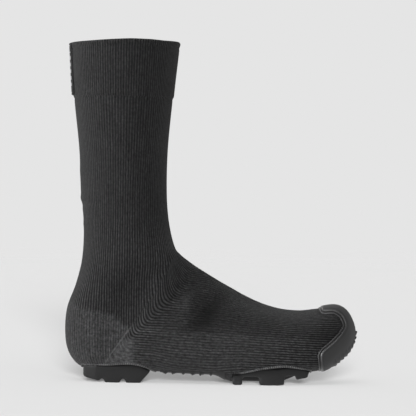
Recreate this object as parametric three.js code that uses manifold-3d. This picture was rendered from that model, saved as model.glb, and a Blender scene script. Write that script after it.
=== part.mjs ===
// A knitted cycling overshoe for the right foot, standing as worn over a lugged riding sole.
// Millimetres, +Z up, +X to the toe, +Y to the inner side of the foot.
// The origin lies on the floor under the middle bar of the heel tread.

import * as THREE from "three";
import { mergeVertices } from "three/addons/utils/BufferGeometryUtils.js";
import Module from "manifold-3d";

const wasm = await Module();
wasm.setup();

// Driving dimensions of the foot and the shaft
const FOOT_LENGTH = 294.8; // back of the heel to the tip of the knitted toe
const HEEL_SETBACK = 51.8; // back of the heel behind the origin
const BALL_WIDTH = 104; // across the widest part of the forefoot
const INSTEP_HEIGHT = 134; // floor to the bend between shin and instep
const UNDERSIDE_HEIGHT = 9; // floor to the knit's underside at the ball
const SHAFT_HEIGHT = 347; // floor to the rim of the cuff
const SHAFT_AXIS_X = 6.3; // middle of the shaft ahead of the origin
const ANKLE_DEPTH = 87.5; // front to back where the shaft is narrowest
const ANKLE_WIDTH = 74; // side to side there

// Walls and the air between pieces
const KNIT_WALL = 1.8;
const CUFF_STEP = 1; // how much the folded cuff stands proud of the single knit
const CUFF_HEIGHT = 58; // rim to hem
const HEM_SLOPE = 0.5; // height over which the hem steps in
const SEAT_GAP = 0.3; // between a piece and what carries it

// Rubber toe cap
const CAP_THICKNESS = 2.3;
const CAP_FLANGE_THICKNESS = 1.1;
const CAP_FLANGE_WIDTH = 2.6;
const CAP_RIB_COUNT = 9;
const CAP_RIB_PITCH = 4.8;
const CAP_RIB_LENGTH = 2.7; // of one rib along the outline
const CAP_RIB_HEIGHT = 1.2;
const CAP_RIB_SIDE_MARGIN = 3; // from the end of a rib to the widest line of the toe

// Cut-outs of the underside and the tape around them
const CUTOUT_ARCH_TOP = 18.4; // floor to the crown of each arch
const TAPE_WIDTH = 2.2;
const TAPE_THICKNESS = 0.9;

// Grip panel under the arch
const PANEL_MARGIN = 4; // from the tape to the panel
const PANEL_TOP = 13.2; // floor to the edge of the panel on the sides
const PANEL_THICKNESS = 0.8;
const PANEL_RIB_PITCH = 9.3;
const PANEL_RIB_LENGTH = 4;
const PANEL_RIB_HEIGHT = 1.2;

// Woven tab on the back of the cuff
const TAB_WIDTH = 29;
const TAB_HEIGHT = 53;
const TAB_BELOW_RIM = 3.5;
const TAB_THICKNESS = 1.6;

// Riding sole and insole
const PLATE_THICKNESS = 6;
const INSOLE_THICKNESS = 3;
const TREAD_CLEARANCE = 0.6; // tread to the ends of its cut-out
const BASE_PROUD = 0.5; // how far the sole's base stands below the knit
const GROOVE_DEPTH = 3.8;
const GROOVE_MOUTH = 7; // length of a groove at the floor
const GROOVE_CROWN = 3.5; // and at its top
const LUG_EDGE = 1.2; // bevel along the foot of a lug
const CLEAT_POCKET_DEPTH = 1.8;
const CLEAT_POCKET_LENGTH = 38;
const CLEAT_POCKET_WIDTH = 26;

// How finely the faceted forms are cut
const POINTS_AROUND = 26;
const SHAFT_STEP = 1; // rows from ring to ring on the shaft
const FOOT_STEP = 0.5; // and on the foot
const TIP_FAN = 0.18; // rows from the last ring to the closing fan of the toe
const FINE_OUTLINE_POINTS = 96;

const PAST = 400; // further than any part of the shoe

// Rows of the shaft, from the rim down. height is a share of the shaft above the instep;
// front and back are shares of ANKLE_DEPTH from the axis; lateral and medial of ANKLE_WIDTH.
const SHAFT_ROWS = [
  { height: 1.0, front: 0.623, back: 0.635, lateral: 0.69, medial: 0.69 },
  { height: 0.728, front: 0.557, back: 0.593, lateral: 0.628, medial: 0.632 },
  { height: 0.474, front: 0.506, back: 0.525, lateral: 0.547, medial: 0.555 },
  { height: 0.258, front: 0.503, back: 0.498, lateral: 0.502, medial: 0.505 },
  { height: 0.122, front: 0.536, back: 0.462, lateral: 0.5, medial: 0.502 },
];

// Rows of the foot, fanning from the ankle round the heel to the toe. topX and soleX are shares
// of FOOT_LENGTH from the heel; topZ and soleZ of the height from the underside to the instep;
// lateral and medial of BALL_WIDTH; wide is the share of the way down where the row is widest;
// crown and base are the roundness above and below that.
const FOOT_COLUMNS = ["topX", "topZ", "soleX", "soleZ", "lateral", "medial", "wide", "crown", "base"];
const FOOT_ROWS = tableOf(FOOT_COLUMNS, [
  [0.377, 1.02, 0.056, 0.92, 0.375, 0.38, 0.52, 2, 2],
  [0.397, 0.962, 0.036, 0.716, 0.375, 0.375, 0.55, 2, 2.1],
  [0.424, 0.912, 0.006, 0.512, 0.363, 0.36, 0.58, 1.95, 2.2],
  [0.454, 0.863, 0.002, 0.288, 0.36, 0.356, 0.6, 1.9, 2.4],
  [0.477, 0.83, 0.018, 0.144, 0.361, 0.356, 0.62, 1.9, 2.7],
  [0.501, 0.796, 0.059, 0.048, 0.367, 0.36, 0.64, 1.85, 3.2],
  [0.534, 0.75, 0.155, 0.026, 0.377, 0.364, 0.66, 1.85, 3.8],
  [0.575, 0.697, 0.298, 0.018, 0.405, 0.37, 0.68, 1.85, 4.2],
  [0.622, 0.637, 0.465, 0.007, 0.455, 0.397, 0.7, 1.9, 4.6],
  [0.681, 0.576, 0.621, 0, 0.497, 0.457, 0.7, 2, 5],
  [0.745, 0.534, 0.74, 0.002, 0.488, 0.5, 0.68, 2.1, 4.8],
  [0.81, 0.521, 0.828, 0.022, 0.44, 0.502, 0.64, 2.25, 4],
  [0.874, 0.537, 0.9, 0.053, 0.358, 0.463, 0.6, 2.35, 3.2],
  [0.938, 0.554, 0.957, 0.146, 0.231, 0.38, 0.55, 2.3, 2.6],
  [0.975, 0.503, 0.985, 0.222, 0.108, 0.278, 0.52, 2.15, 2.3],
  [1.0, 0.355, 1.0, 0.355, -0.087, 0.087, 0.5, 2, 2],
]);

// Ends of the cut-outs, as shares of FOOT_LENGTH from the heel
const HEEL_CUTOUT = { rear: 0.067, front: 0.311 };
const FOREFOOT_CUTOUT = { rear: 0.569, front: 0.844 };

// Arches of the cut-outs seen from the side: along between the ends, up from the underside
const HEEL_ARCH = [
  { along: 0, up: 0.79 },
  { along: 0.35, up: 0.84 },
  { along: 0.6, up: 1 },
  { along: 0.76, up: 0.93 },
  { along: 0.88, up: 0.68 },
  { along: 1, up: 0.2 },
];
const FOREFOOT_ARCH = [
  { along: 0, up: 0.22 },
  { along: 0.12, up: 0.25 },
  { along: 0.22, up: 0.42 },
  { along: 0.34, up: 0.66 },
  { along: 0.52, up: 0.89 },
  { along: 0.68, up: 1 },
  { along: 0.85, up: 0.84 },
  { along: 1, up: 0.6 },
];

// Edge of the raised part of the toe cap from the side, top to bottom, as shares like FOOT_ROWS
const CAP_EDGE = [
  { along: 0.885, up: 0.66 },
  { along: 0.886, up: 0.54 },
  { along: 0.895, up: 0.522 },
  { along: 0.924, up: 0.524 },
  { along: 0.945, up: 0.502 },
  { along: 0.957, up: 0.471 },
  { along: 0.966, up: 0.41 },
  { along: 0.955, up: 0.358 },
  { along: 0.935, up: 0.305 },
  { along: 0.911, up: 0.255 },
  { along: 0.89, up: 0.216 },
  { along: 0.88, up: 0.176 },
  { along: 0.88, up: 0.141 },
  { along: 0.883, up: 0.088 },
  { along: 0.891, up: -0.04 },
];

// Tread from the side: along as a share of FOOT_LENGTH from the heel, up of UNDERSIDE_HEIGHT
const TREAD_PROFILE = [
  { along: 0.04, up: 1.3 },
  { along: 0.067, up: 0.76 },
  { along: 0.08, up: 0.49 },
  { along: 0.115, up: 0.24 },
  { along: 0.14, up: 0 },
  { along: 0.737, up: 0 },
  { along: 0.762, up: 0.12 },
  { along: 0.8, up: 0.65 },
  { along: 0.86, up: 1 },
];
// Front of the heel block from the side, foot to top
const HEEL_RAKE = [
  { along: 0.265, up: 0 },
  { along: 0.275, up: 0.4 },
  { along: 0.297, up: 1.2 },
  { along: 0.312, up: 3 },
];
const HEEL_GROOVES = [{ along: 0.134 }, { along: 0.206 }]; // middles of the grooves in the heel block

// Outline of the tread from below, as shares of FOOT_LENGTH from the heel and of BALL_WIDTH
const TREAD_PLAN = [
  { along: 0.06, lateral: 0.22, medial: 0.22 },
  { along: 0.075, lateral: 0.262, medial: 0.262 },
  { along: 0.11, lateral: 0.3, medial: 0.298 },
  { along: 0.17, lateral: 0.316, medial: 0.31 },
  { along: 0.24, lateral: 0.32, medial: 0.308 },
  { along: 0.32, lateral: 0.322, medial: 0.3 },
  { along: 0.57, lateral: 0.42, medial: 0.355 },
  { along: 0.64, lateral: 0.45, medial: 0.41 },
  { along: 0.71, lateral: 0.45, medial: 0.452 },
  { along: 0.78, lateral: 0.418, medial: 0.46 },
  { along: 0.86, lateral: 0.345, medial: 0.425 },
];

// Forefoot lugs: rear and front along the foot, edge nearest the middle as a share of BALL_WIDTH.
// Those of the foot's inner side are longer and stand across the gaps between the outer side's.
const LATERAL_LUGS = [
  { rear: 0.58, front: 0.614, middle: 0.19 },
  { rear: 0.672, front: 0.757, middle: 0.18 },
  { rear: 0.797, front: 0.838, middle: 0.14 },
];
const MEDIAL_LUGS = [
  { rear: 0.59, front: 0.682, middle: 0.19 },
  { rear: 0.702, front: 0.804, middle: 0.18 },
];
const CLEAT_POCKET_ALONG = 0.66; // middle of the recess between the lugs

// Colours and gloss, read from the photograph
const knit = new THREE.MeshStandardMaterial({ color: 0x2f2f30, roughness: 0.92, metalness: 0 });
const capRubber = new THREE.MeshStandardMaterial({ color: 0x3a3a3b, roughness: 0.55, metalness: 0 });
const tape = new THREE.MeshStandardMaterial({ color: 0x5a5a5b, roughness: 0.8, metalness: 0 });
const gripRubber = new THREE.MeshStandardMaterial({ color: 0x232324, roughness: 0.7, metalness: 0 });
const treadRubber = new THREE.MeshStandardMaterial({ color: 0x343435, roughness: 0.6, metalness: 0 });
const insoleCloth = new THREE.MeshStandardMaterial({ color: 0x2a2a2c, roughness: 0.95, metalness: 0 });
const tabCloth = new THREE.MeshStandardMaterial({ color: 0x141415, roughness: 0.8, metalness: 0 });

// Rows with named columns from plain rows
function tableOf(columns, plainRows) {
  return plainRows.map((row) => Object.fromEntries(columns.map((column, i) => [column, row[i]])));
}

// Places on the foot from shares of its length and height
const alongFoot = (share) => share * FOOT_LENGTH - HEEL_SETBACK;
const aboveSole = (share) => UNDERSIDE_HEIGHT + share * (INSTEP_HEIGHT - UNDERSIDE_HEIGHT);

// Every row in millimetres: front and back points of the section in the XZ plane, and its widths
function shaftRow(row) {
  const z = INSTEP_HEIGHT + row.height * (SHAFT_HEIGHT - INSTEP_HEIGHT);
  return {
    frontX: SHAFT_AXIS_X + row.front * ANKLE_DEPTH,
    frontZ: z,
    backX: SHAFT_AXIS_X - row.back * ANKLE_DEPTH,
    backZ: z,
    lateral: row.lateral * ANKLE_WIDTH,
    medial: row.medial * ANKLE_WIDTH,
    wide: 0.5,
    crown: 2,
    base: 2,
  };
}

function footRow(row) {
  return {
    frontX: alongFoot(row.topX),
    frontZ: aboveSole(row.topZ),
    backX: alongFoot(row.soleX),
    backZ: aboveSole(row.soleZ),
    lateral: row.lateral * BALL_WIDTH,
    medial: row.medial * BALL_WIDTH,
    wide: row.wide,
    crown: row.crown,
    base: row.base,
  };
}

// The row past the toe's tip is the last one turned over, which rounds the tip
function turnedOver(row) {
  return {
    ...row,
    frontX: row.backX,
    frontZ: row.backZ,
    backX: row.frontX,
    backZ: row.frontZ,
    lateral: -row.medial,
    medial: -row.lateral,
    wide: 1 - row.wide,
  };
}

const rows = [...SHAFT_ROWS.map(shaftRow), ...FOOT_ROWS.map(footRow)];
const TIP = rows.length - 1;
rows.push(turnedOver(rows[TIP - 1]));

// Knots of the rows: the mean distance that the front and back points have gone
const knots = [0];
for (let i = 1; i < rows.length; i++) {
  const a = rows[i - 1];
  const b = rows[i];
  const front = Math.hypot(b.frontX - a.frontX, b.frontZ - a.frontZ);
  const back = Math.hypot(b.backX - a.backX, b.backZ - a.backZ);
  knots.push(knots[i - 1] + (front + back) / 2);
}

// Slope of a column at a row, from the rows on both sides
function slope(column, i) {
  const before = Math.max(i - 1, 0);
  const after = Math.min(i + 1, rows.length - 1);
  return (rows[after][column] - rows[before][column]) / (knots[after] - knots[before]);
}

// One column at a place between the rows. at is the row number, with a fraction.
function columnAt(column, at) {
  const i = Math.min(Math.floor(at), TIP - 1);
  const f = at - i;
  const span = knots[i + 1] - knots[i];
  const a = rows[i][column];
  const b = rows[i + 1][column];
  const slopeA = slope(column, i) * span;
  const slopeB = slope(column, i + 1) * span;
  const bend = 2 * (a - b) + slopeA + slopeB;
  return a + f * (slopeA + f * (-bend - slopeA + (b - a) + f * bend));
}

function sectionAt(at) {
  const section = {};
  for (const column of Object.keys(rows[0])) section[column] = columnAt(column, at);
  return section;
}

// Half outline of a section from its front to its back, as points in space.
// side is -1 for the outer side of the foot and 1 for the inner side.
function halfOutline(section, side) {
  const middle = (section.medial - section.lateral) / 2;
  const halfWidth = Math.max((section.medial + section.lateral) / 2, 0);
  const points = [];
  for (let i = 0; i <= FINE_OUTLINE_POINTS; i++) {
    const angle = (i / FINE_OUTLINE_POINTS) * Math.PI;
    const above = angle < Math.PI / 2;
    const power = 2 / (above ? section.crown : section.base);
    const out = Math.sin(angle) ** power;
    const down = Math.abs(Math.cos(angle)) ** power;
    const share = above ? section.wide * (1 - down) : section.wide + (1 - section.wide) * down;
    points.push(
      new THREE.Vector3(
        section.frontX + share * (section.backX - section.frontX),
        middle + side * halfWidth * out,
        section.frontZ + share * (section.backZ - section.frontZ),
      ),
    );
  }
  return points;
}

// Points at even distances along a fine line, both ends included
function evenly(line, count) {
  const run = [0];
  for (let i = 1; i < line.length; i++) run.push(run[i - 1] + line[i].distanceTo(line[i - 1]));
  const total = run[run.length - 1];
  const points = [];
  let j = 1;
  for (let i = 0; i < count; i++) {
    const goal = (total * i) / (count - 1);
    while (j < line.length - 1 && run[j] < goal) j++;
    const span = run[j] - run[j - 1];
    points.push(line[j - 1].clone().lerp(line[j], span > 0 ? (goal - run[j - 1]) / span : 0));
  }
  return points;
}

// The closed ring of one section: front, down the outer side, back, up the inner side
function ringAt(at) {
  const section = sectionAt(at);
  const half = POINTS_AROUND / 2 + 1;
  const outer = evenly(halfOutline(section, -1), half);
  const inner = evenly(halfOutline(section, 1), half);
  return [...outer, ...inner.slice(1, -1).reverse()];
}

const TIP_POINT = new THREE.Vector3(rows[TIP].frontX, rows[TIP].medial, rows[TIP].frontZ);
const PROBE = 0.02; // in rows, for directions along the shoe

// Rings moved out along the surface's own normal by offset(at), in millimetres
function ringsMovedOut(places, offset) {
  return places.map((at) => {
    const ring = ringAt(at);
    const before = ringAt(Math.max(at - PROBE, 0));
    const after = ringAt(Math.min(at + PROBE, TIP - PROBE));
    return ring.map((point, j) => {
      const around = ring[(j + 1) % ring.length].clone().sub(ring[(j + ring.length - 1) % ring.length]);
      const along = after[j].clone().sub(before[j]);
      const normal = around.cross(along).normalize();
      return point.clone().addScaledVector(normal, offset(at));
    });
  });
}

// Row places of all the rings that the pieces share
const ANKLE_PLACE = SHAFT_ROWS.length;
const RING_PLACES = [];
for (let at = 0; at < ANKLE_PLACE; at += SHAFT_STEP) RING_PLACES.push(at);
for (let at = ANKLE_PLACE; at < TIP; at += FOOT_STEP) RING_PLACES.push(at);
RING_PLACES.push(TIP - TIP_FAN);
const placesFrom = (first, last) => RING_PLACES.filter((at) => at >= first && at <= last);
const toeEnd = (first) => placesFrom(first, TIP);

// Solids from vertices and faces, and back
function solidOf(geometry) {
  const bare = geometry.index ? geometry.toNonIndexed() : geometry.clone();
  const only = new THREE.BufferGeometry().setAttribute("position", bare.getAttribute("position"));
  const merged = mergeVertices(only, 1e-4);
  const mesh = new wasm.Mesh({
    numProp: 3,
    vertProperties: new Float32Array(merged.attributes.position.array),
    triVerts: new Uint32Array(merged.index.array),
  });
  return new wasm.Manifold(mesh);
}

function geometryOf(solid) {
  const mesh = solid.getMesh();
  const geometry = new THREE.BufferGeometry();
  const positions = new Float32Array(mesh.numVert * 3);
  for (let i = 0; i < mesh.numVert; i++) {
    for (let k = 0; k < 3; k++) positions[i * 3 + k] = mesh.vertProperties[i * mesh.numProp + k];
  }
  geometry.setAttribute("position", new THREE.BufferAttribute(positions, 3));
  geometry.setIndex(new THREE.BufferAttribute(new Uint32Array(mesh.triVerts), 1));
  geometry.computeVertexNormals();
  return geometry;
}

// A closed surface laid out as rings, with helpers for its faces
class Skin {
  constructor() {
    this.vertices = [];
    this.faces = [];
  }

  add(point) {
    this.vertices.push(point);
    return this.vertices.length - 1;
  }

  addRing(ring) {
    return ring.map((point) => this.add(point));
  }

  // Faces between two rings; turned is true where the surface looks inward
  join(a, b, turned) {
    a.forEach((_, j) => {
      const k = (j + 1) % a.length;
      this.quad(a[j], a[k], b[k], b[j], turned);
    });
  }

  quad(p, q, r, s, turned) {
    if (turned) this.faces.push([p, r, q], [p, s, r]);
    else this.faces.push([p, q, r], [p, r, s]);
  }

  // A fan that closes a ring at one point
  close(ring, point, turned) {
    const middle = this.add(point);
    ring.forEach((_, j) => {
      const k = (j + 1) % ring.length;
      this.faces.push(turned ? [ring[k], ring[j], middle] : [ring[j], ring[k], middle]);
    });
  }

  solid() {
    const positions = new Float32Array(this.vertices.flatMap((v) => [v.x, v.y, v.z]));
    const geometry = new THREE.BufferGeometry();
    geometry.setAttribute("position", new THREE.BufferAttribute(positions, 3));
    geometry.setIndex(this.faces.flat());
    return solidOf(geometry);
  }
}

const always = (value) => () => value;
const tipMovedOut = (by) => TIP_POINT.clone().add(new THREE.Vector3(by, 0, 0));

// The wall between two offsets of the upper's own surface, closed round the toe or left as a tube
function wallBetween(places, inner, outer, closedAtToe) {
  const skin = new Skin();
  const outside = ringsMovedOut(places, outer).map((ring) => skin.addRing(ring));
  const inside = ringsMovedOut(places, inner).map((ring) => skin.addRing(ring));
  for (let i = 1; i < places.length; i++) {
    skin.join(outside[i - 1], outside[i], false);
    skin.join(inside[i - 1], inside[i], true);
  }
  skin.join(inside[0], outside[0], false);
  const last = places.length - 1;
  if (closedAtToe) {
    skin.close(outside[last], tipMovedOut(outer(TIP)), false);
    skin.close(inside[last], tipMovedOut(inner(TIP)), true);
  } else {
    skin.join(outside[last], inside[last], false);
  }
  return skin.solid();
}

// The space inside an offset of the surface, from a row of the ankle to the toe
function fillWithin(places, offset) {
  const skin = new Skin();
  const rings = ringsMovedOut(places, always(offset)).map((ring) => skin.addRing(ring));
  for (let i = 1; i < places.length; i++) skin.join(rings[i - 1], rings[i], false);
  const firstSection = sectionAt(places[0]);
  const middleX = (firstSection.frontX + firstSection.backX) / 2;
  const middleZ = (firstSection.frontZ + firstSection.backZ) / 2;
  skin.close(rings[0], new THREE.Vector3(middleX, 0, middleZ), true);
  skin.close(rings[places.length - 1], tipMovedOut(offset), false);
  return skin.solid();
}

// A side view outline of x and z, carried across the shoe from y0 to y1
function sidePrism(outline, y0 = -PAST, y1 = PAST) {
  const shape = new THREE.Shape(outline.map((p) => new THREE.Vector2(p.x, p.z)));
  const geometry = new THREE.ExtrudeGeometry(shape, { depth: y1 - y0, bevelEnabled: false });
  return solidOf(geometry.rotateX(Math.PI / 2).translate(0, y1, 0));
}

const sideBox = (x0, x1, z0, z1) => [
  { x: x0, z: z0 },
  { x: x1, z: z0 },
  { x: x1, z: z1 },
  { x: x0, z: z1 },
];

// A line through side view points, smoothed
function smoothLine(points, pieces) {
  const curve = new THREE.SplineCurve(points.map((p) => new THREE.Vector2(p.x, p.z)));
  return curve.getPoints(pieces).map((p) => ({ x: p.x, z: p.y }));
}

// A side view line moved to its left by a distance
function movedLeft(line, by) {
  return line.map((p, i) => {
    const a = line[Math.max(i - 1, 0)];
    const b = line[Math.min(i + 1, line.length - 1)];
    const length = Math.hypot(b.x - a.x, b.z - a.z);
    return { x: p.x - (by * (b.z - a.z)) / length, z: p.z + (by * (b.x - a.x)) / length };
  });
}

// The cut-outs, as prisms under their arches, grown by a distance on every side
function cutout(ends, arch, grow) {
  const rearX = alongFoot(ends.rear);
  const frontX = alongFoot(ends.front);
  const rise = CUTOUT_ARCH_TOP - UNDERSIDE_HEIGHT;
  const points = arch.map((p) => ({
    x: rearX + p.along * (frontX - rearX),
    z: UNDERSIDE_HEIGHT + p.up * rise,
  }));
  const line = movedLeft(smoothLine(points, arch.length * 3), grow);
  const first = line[0];
  const last = line[line.length - 1];
  return sidePrism([{ x: first.x - grow, z: -PAST }, { x: first.x - grow, z: first.z },
    ...line, { x: last.x + grow, z: last.z }, { x: last.x + grow, z: -PAST }].filter(isApart));
}

// Drops a point that repeats the one before it
function isApart(point, i, list) {
  const before = list[(i + list.length - 1) % list.length];
  return Math.hypot(point.x - before.x, point.z - before.z) > 1e-3;
}

const heelCutout = (grow) => cutout(HEEL_CUTOUT, HEEL_ARCH, grow);
const forefootCutout = (grow) => cutout(FOREFOOT_CUTOUT, FOREFOOT_ARCH, grow);

// The row place where the shaft has a height
function placeAtHeight(z) {
  let low = 0;
  let high = SHAFT_ROWS.length - 1;
  for (let i = 0; i < 40; i++) {
    const middle = (low + high) / 2;
    if (columnAt("frontZ", middle) > z) low = middle;
    else high = middle;
  }
  return low;
}

const HEM_Z = SHAFT_HEIGHT - CUFF_HEIGHT;
const HEM_UPPER_PLACE = placeAtHeight(HEM_Z + HEM_SLOPE / 2);
const HEM_LOWER_PLACE = placeAtHeight(HEM_Z - HEM_SLOPE / 2);
const cuffStepAt = (at) => (at <= HEM_UPPER_PLACE + 1e-9 ? CUFF_STEP : 0);

// The knitted upper: shaft with its folded cuff, heel and foot, open at the rim and both cut-outs
function upper() {
  const plain = toeEnd(0).filter((at) => Math.abs(at - HEM_UPPER_PLACE) > 0.1);
  const places = [...plain, HEM_UPPER_PLACE, HEM_LOWER_PLACE].sort((a, b) => a - b);
  const knitted = wallBetween(places, always(-KNIT_WALL), cuffStepAt, true);
  return knitted.subtract(heelCutout(0)).subtract(forefootCutout(0));
}

// Row places that the pieces of the foot start or end at
const HEEL_PLACE = ANKLE_PLACE + 3;
const ARCH_REAR_PLACE = ANKLE_PLACE + 6;
const ARCH_FRONT_PLACE = ANKLE_PLACE + 9;
const BALL_PLACE = ANKLE_PLACE + 8;
const TOE_PLACE = TIP - 4;

// A layer lying on the knit, with the seat gap under it
const layer = (places, thickness, closedAtToe) =>
  wallBetween(places, always(SEAT_GAP), always(SEAT_GAP + thickness), closedAtToe);

// Edge of the toe cap from the side, moved back by a distance, closed in front of the toe
function capOutline(back) {
  const points = CAP_EDGE.map((p) => ({ x: alongFoot(p.along), z: aboveSole(p.up) }));
  const line = movedLeft(smoothLine(points, CAP_EDGE.length + 4), -back);
  return [...line, { x: PAST, z: -PAST }, { x: PAST, z: PAST }];
}

// Places of the cap's ribs on the underside line, from the tip of the toe backwards
function capRibPlaces() {
  const found = [];
  let last = sectionAt(TIP - PROBE);
  let next = CAP_RIB_PITCH / 2;
  let run = 0;
  for (let at = TIP - PROBE; at > TOE_PLACE && found.length < CAP_RIB_COUNT; at -= PROBE) {
    const s = sectionAt(at);
    const dx = s.backX - last.backX;
    const dz = s.backZ - last.backZ;
    const step = Math.hypot(dx, dz);
    run += step;
    last = s;
    if (run < next || step === 0) continue;
    found.push({
      x: s.backX,
      z: s.backZ,
      tangent: { x: dx / step, z: dz / step },
      middle: (s.medial - s.lateral) / 2,
      halfWidth: (s.medial + s.lateral) / 2,
    });
    next += CAP_RIB_PITCH;
  }
  return found;
}

// One cross rib of the toe cap, as a block through the cap's outer half
function capRibBlock(rib) {
  const half = CAP_RIB_LENGTH / 2;
  const deep = 2 * (CAP_THICKNESS + CAP_RIB_HEIGHT);
  const corner = (s, d) => ({
    x: rib.x + s * half * rib.tangent.x - d * deep * rib.tangent.z,
    z: rib.z + s * half * rib.tangent.z + d * deep * rib.tangent.x,
  });
  const width = Math.max(rib.halfWidth - CAP_RIB_SIDE_MARGIN, 2 * CAP_RIB_SIDE_MARGIN);
  const outline = [corner(-1, -1), corner(1, -1), corner(1, 1), corner(-1, 1)];
  return sidePrism(outline, rib.middle - width, rib.middle + width);
}

// Rubber toe cap: a flange, a raised body within it and cross ribs over the tip and underneath
function toeCap() {
  const places = toeEnd(TOE_PLACE);
  const body = layer(places, CAP_THICKNESS, true).intersect(sidePrism(capOutline(0)));
  const flange = layer(places, CAP_FLANGE_THICKNESS, true).intersect(
    sidePrism(capOutline(CAP_FLANGE_WIDTH)),
  );
  let cap = body.add(flange);
  const middle = SEAT_GAP + CAP_THICKNESS / 2;
  const outside = SEAT_GAP + CAP_THICKNESS + CAP_RIB_HEIGHT;
  const ribWall = wallBetween(places, always(middle), always(outside), true);
  for (const rib of capRibPlaces()) cap = cap.add(ribWall.intersect(capRibBlock(rib)));
  return cap;
}

// A tape sewn on the knit round a cut-out
function edgeTape(first, last, cutoutGrown) {
  const wall = layer(placesFrom(first, last), TAPE_THICKNESS, false);
  return wall.intersect(cutoutGrown(TAPE_WIDTH).subtract(cutoutGrown(0)));
}

// The grip panel between the two cut-outs, with its cross ribs
function archGrip() {
  const places = placesFrom(ARCH_REAR_PLACE, ARCH_FRONT_PLACE);
  const rear = alongFoot(HEEL_CUTOUT.front) + TAPE_WIDTH + PANEL_MARGIN;
  const front = alongFoot(FOREFOOT_CUTOUT.rear) - TAPE_WIDTH - PANEL_MARGIN;
  let panel = layer(places, PANEL_THICKNESS, false).intersect(
    sidePrism(sideBox(rear, front, -PAST, PANEL_TOP)),
  );
  const middle = SEAT_GAP + PANEL_THICKNESS / 2;
  const outside = SEAT_GAP + PANEL_THICKNESS + PANEL_RIB_HEIGHT;
  const ribWall = wallBetween(places, always(middle), always(outside), false);
  const count = Math.floor((front - rear) / PANEL_RIB_PITCH);
  const firstX = (rear + front - (count - 1) * PANEL_RIB_PITCH) / 2;
  for (let i = 0; i < count; i++) {
    const x = firstX + i * PANEL_RIB_PITCH;
    const half = PANEL_RIB_LENGTH / 2;
    const slab = sidePrism(sideBox(x - half, x + half, -PAST, PANEL_TOP));
    panel = panel.add(ribWall.intersect(slab));
  }
  return panel;
}

// The blank woven tab sewn on the back of the cuff
function rearTab() {
  const top = SHAFT_HEIGHT - TAB_BELOW_RIM;
  const bottom = top - TAB_HEIGHT;
  const inner = CUFF_STEP + SEAT_GAP;
  const band = wallBetween(placesFrom(0, 2), always(inner), always(inner + TAB_THICKNESS), false);
  const half = TAB_WIDTH / 2;
  return band.intersect(sidePrism(sideBox(-PAST, SHAFT_AXIS_X, bottom, top), -half, half));
}

// The underside line of the upper from heel to toe, raised by a distance, seen from the side
function undersideRaised(by) {
  const line = [];
  for (let at = ANKLE_PLACE + 6; at < TIP - 0.5; at += 0.5) {
    line.push({ x: columnAt("backX", at), z: columnAt("backZ", at) + by });
  }
  line.unshift({ x: -PAST, z: line[0].z });
  line.push({ x: PAST, z: PAST });
  return line;
}

const under = (line) => sidePrism([{ x: -PAST, z: -PAST }, { x: PAST, z: -PAST }, ...[...line].reverse()]);
const over = (line) => sidePrism([...line, { x: PAST, z: 2 * PAST }, { x: -PAST, z: 2 * PAST }]);

const PLATE_RISE = KNIT_WALL + SEAT_GAP + PLATE_THICKNESS; // top of the plate above the underside
const insideUpper = () => fillWithin(toeEnd(HEEL_PLACE - 1), -KNIT_WALL - SEAT_GAP);

// Plan points of one edge of the tread between two places along the foot
function treadEdge(side, rear, front) {
  const points = TREAD_PLAN.map(
    (p) => new THREE.Vector2(alongFoot(p.along), BALL_WIDTH * (side < 0 ? -p.lateral : p.medial)),
  );
  const inside = points.filter((p) => p.x > rear && p.x < front);
  return [onEdge(points, rear), ...inside, onEdge(points, front)];
}

// The point of a plan line at x
function onEdge(points, x) {
  const i = Math.max(points.findIndex((p) => p.x >= x), 1);
  const a = points[i - 1];
  const b = points[i];
  return new THREE.Vector2(x, a.y + ((b.y - a.y) * (x - a.x)) / (b.x - a.x));
}

// A block of the tread's full width between two places, from the floor to a height
function treadBlock(rear, front, height) {
  const shape = new THREE.Shape([...treadEdge(-1, rear, front), ...treadEdge(1, rear, front).reverse()]);
  return solidOf(new THREE.ExtrudeGeometry(shape, { depth: height, bevelEnabled: false }));
}

// One forefoot lug on one side, bevelled round its foot
function lugBlock(lug, side, height) {
  const rear = alongFoot(lug.rear) + LUG_EDGE;
  const front = alongFoot(lug.front) - LUG_EDGE;
  const middle = side * (lug.middle * BALL_WIDTH + LUG_EDGE);
  const outer = treadEdge(side, rear, front).map((p) => new THREE.Vector2(p.x, p.y - side * LUG_EDGE));
  const shape = new THREE.Shape([new THREE.Vector2(rear, middle), ...outer, new THREE.Vector2(front, middle)]);
  const geometry = new THREE.ExtrudeGeometry(shape, {
    depth: height,
    bevelThickness: LUG_EDGE,
    bevelSize: LUG_EDGE,
    bevelSegments: 1,
  });
  return solidOf(geometry.translate(0, 0, LUG_EDGE));
}

// The heel block: three bars with two grooves between them, raked at the front
function heelBlock(rear, front, height) {
  const rake = HEEL_RAKE.map((p) => ({ x: alongFoot(p.along), z: p.up * UNDERSIDE_HEIGHT }));
  const side = [{ x: -PAST, z: 0 }, ...rake, { x: rake[rake.length - 1].x, z: PAST }, { x: -PAST, z: PAST }];
  let block = treadBlock(rear, front, height).intersect(sidePrism(side));
  for (const groove of HEEL_GROOVES) {
    const x = alongFoot(groove.along);
    const mouth = GROOVE_MOUTH / 2;
    const crown = GROOVE_CROWN / 2;
    block = block.subtract(
      sidePrism([
        { x: x - mouth, z: -LUG_EDGE },
        { x: x + mouth, z: -LUG_EDGE },
        { x: x + crown, z: GROOVE_DEPTH },
        { x: x - crown, z: GROOVE_DEPTH },
      ]),
    );
  }
  return block;
}

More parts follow.
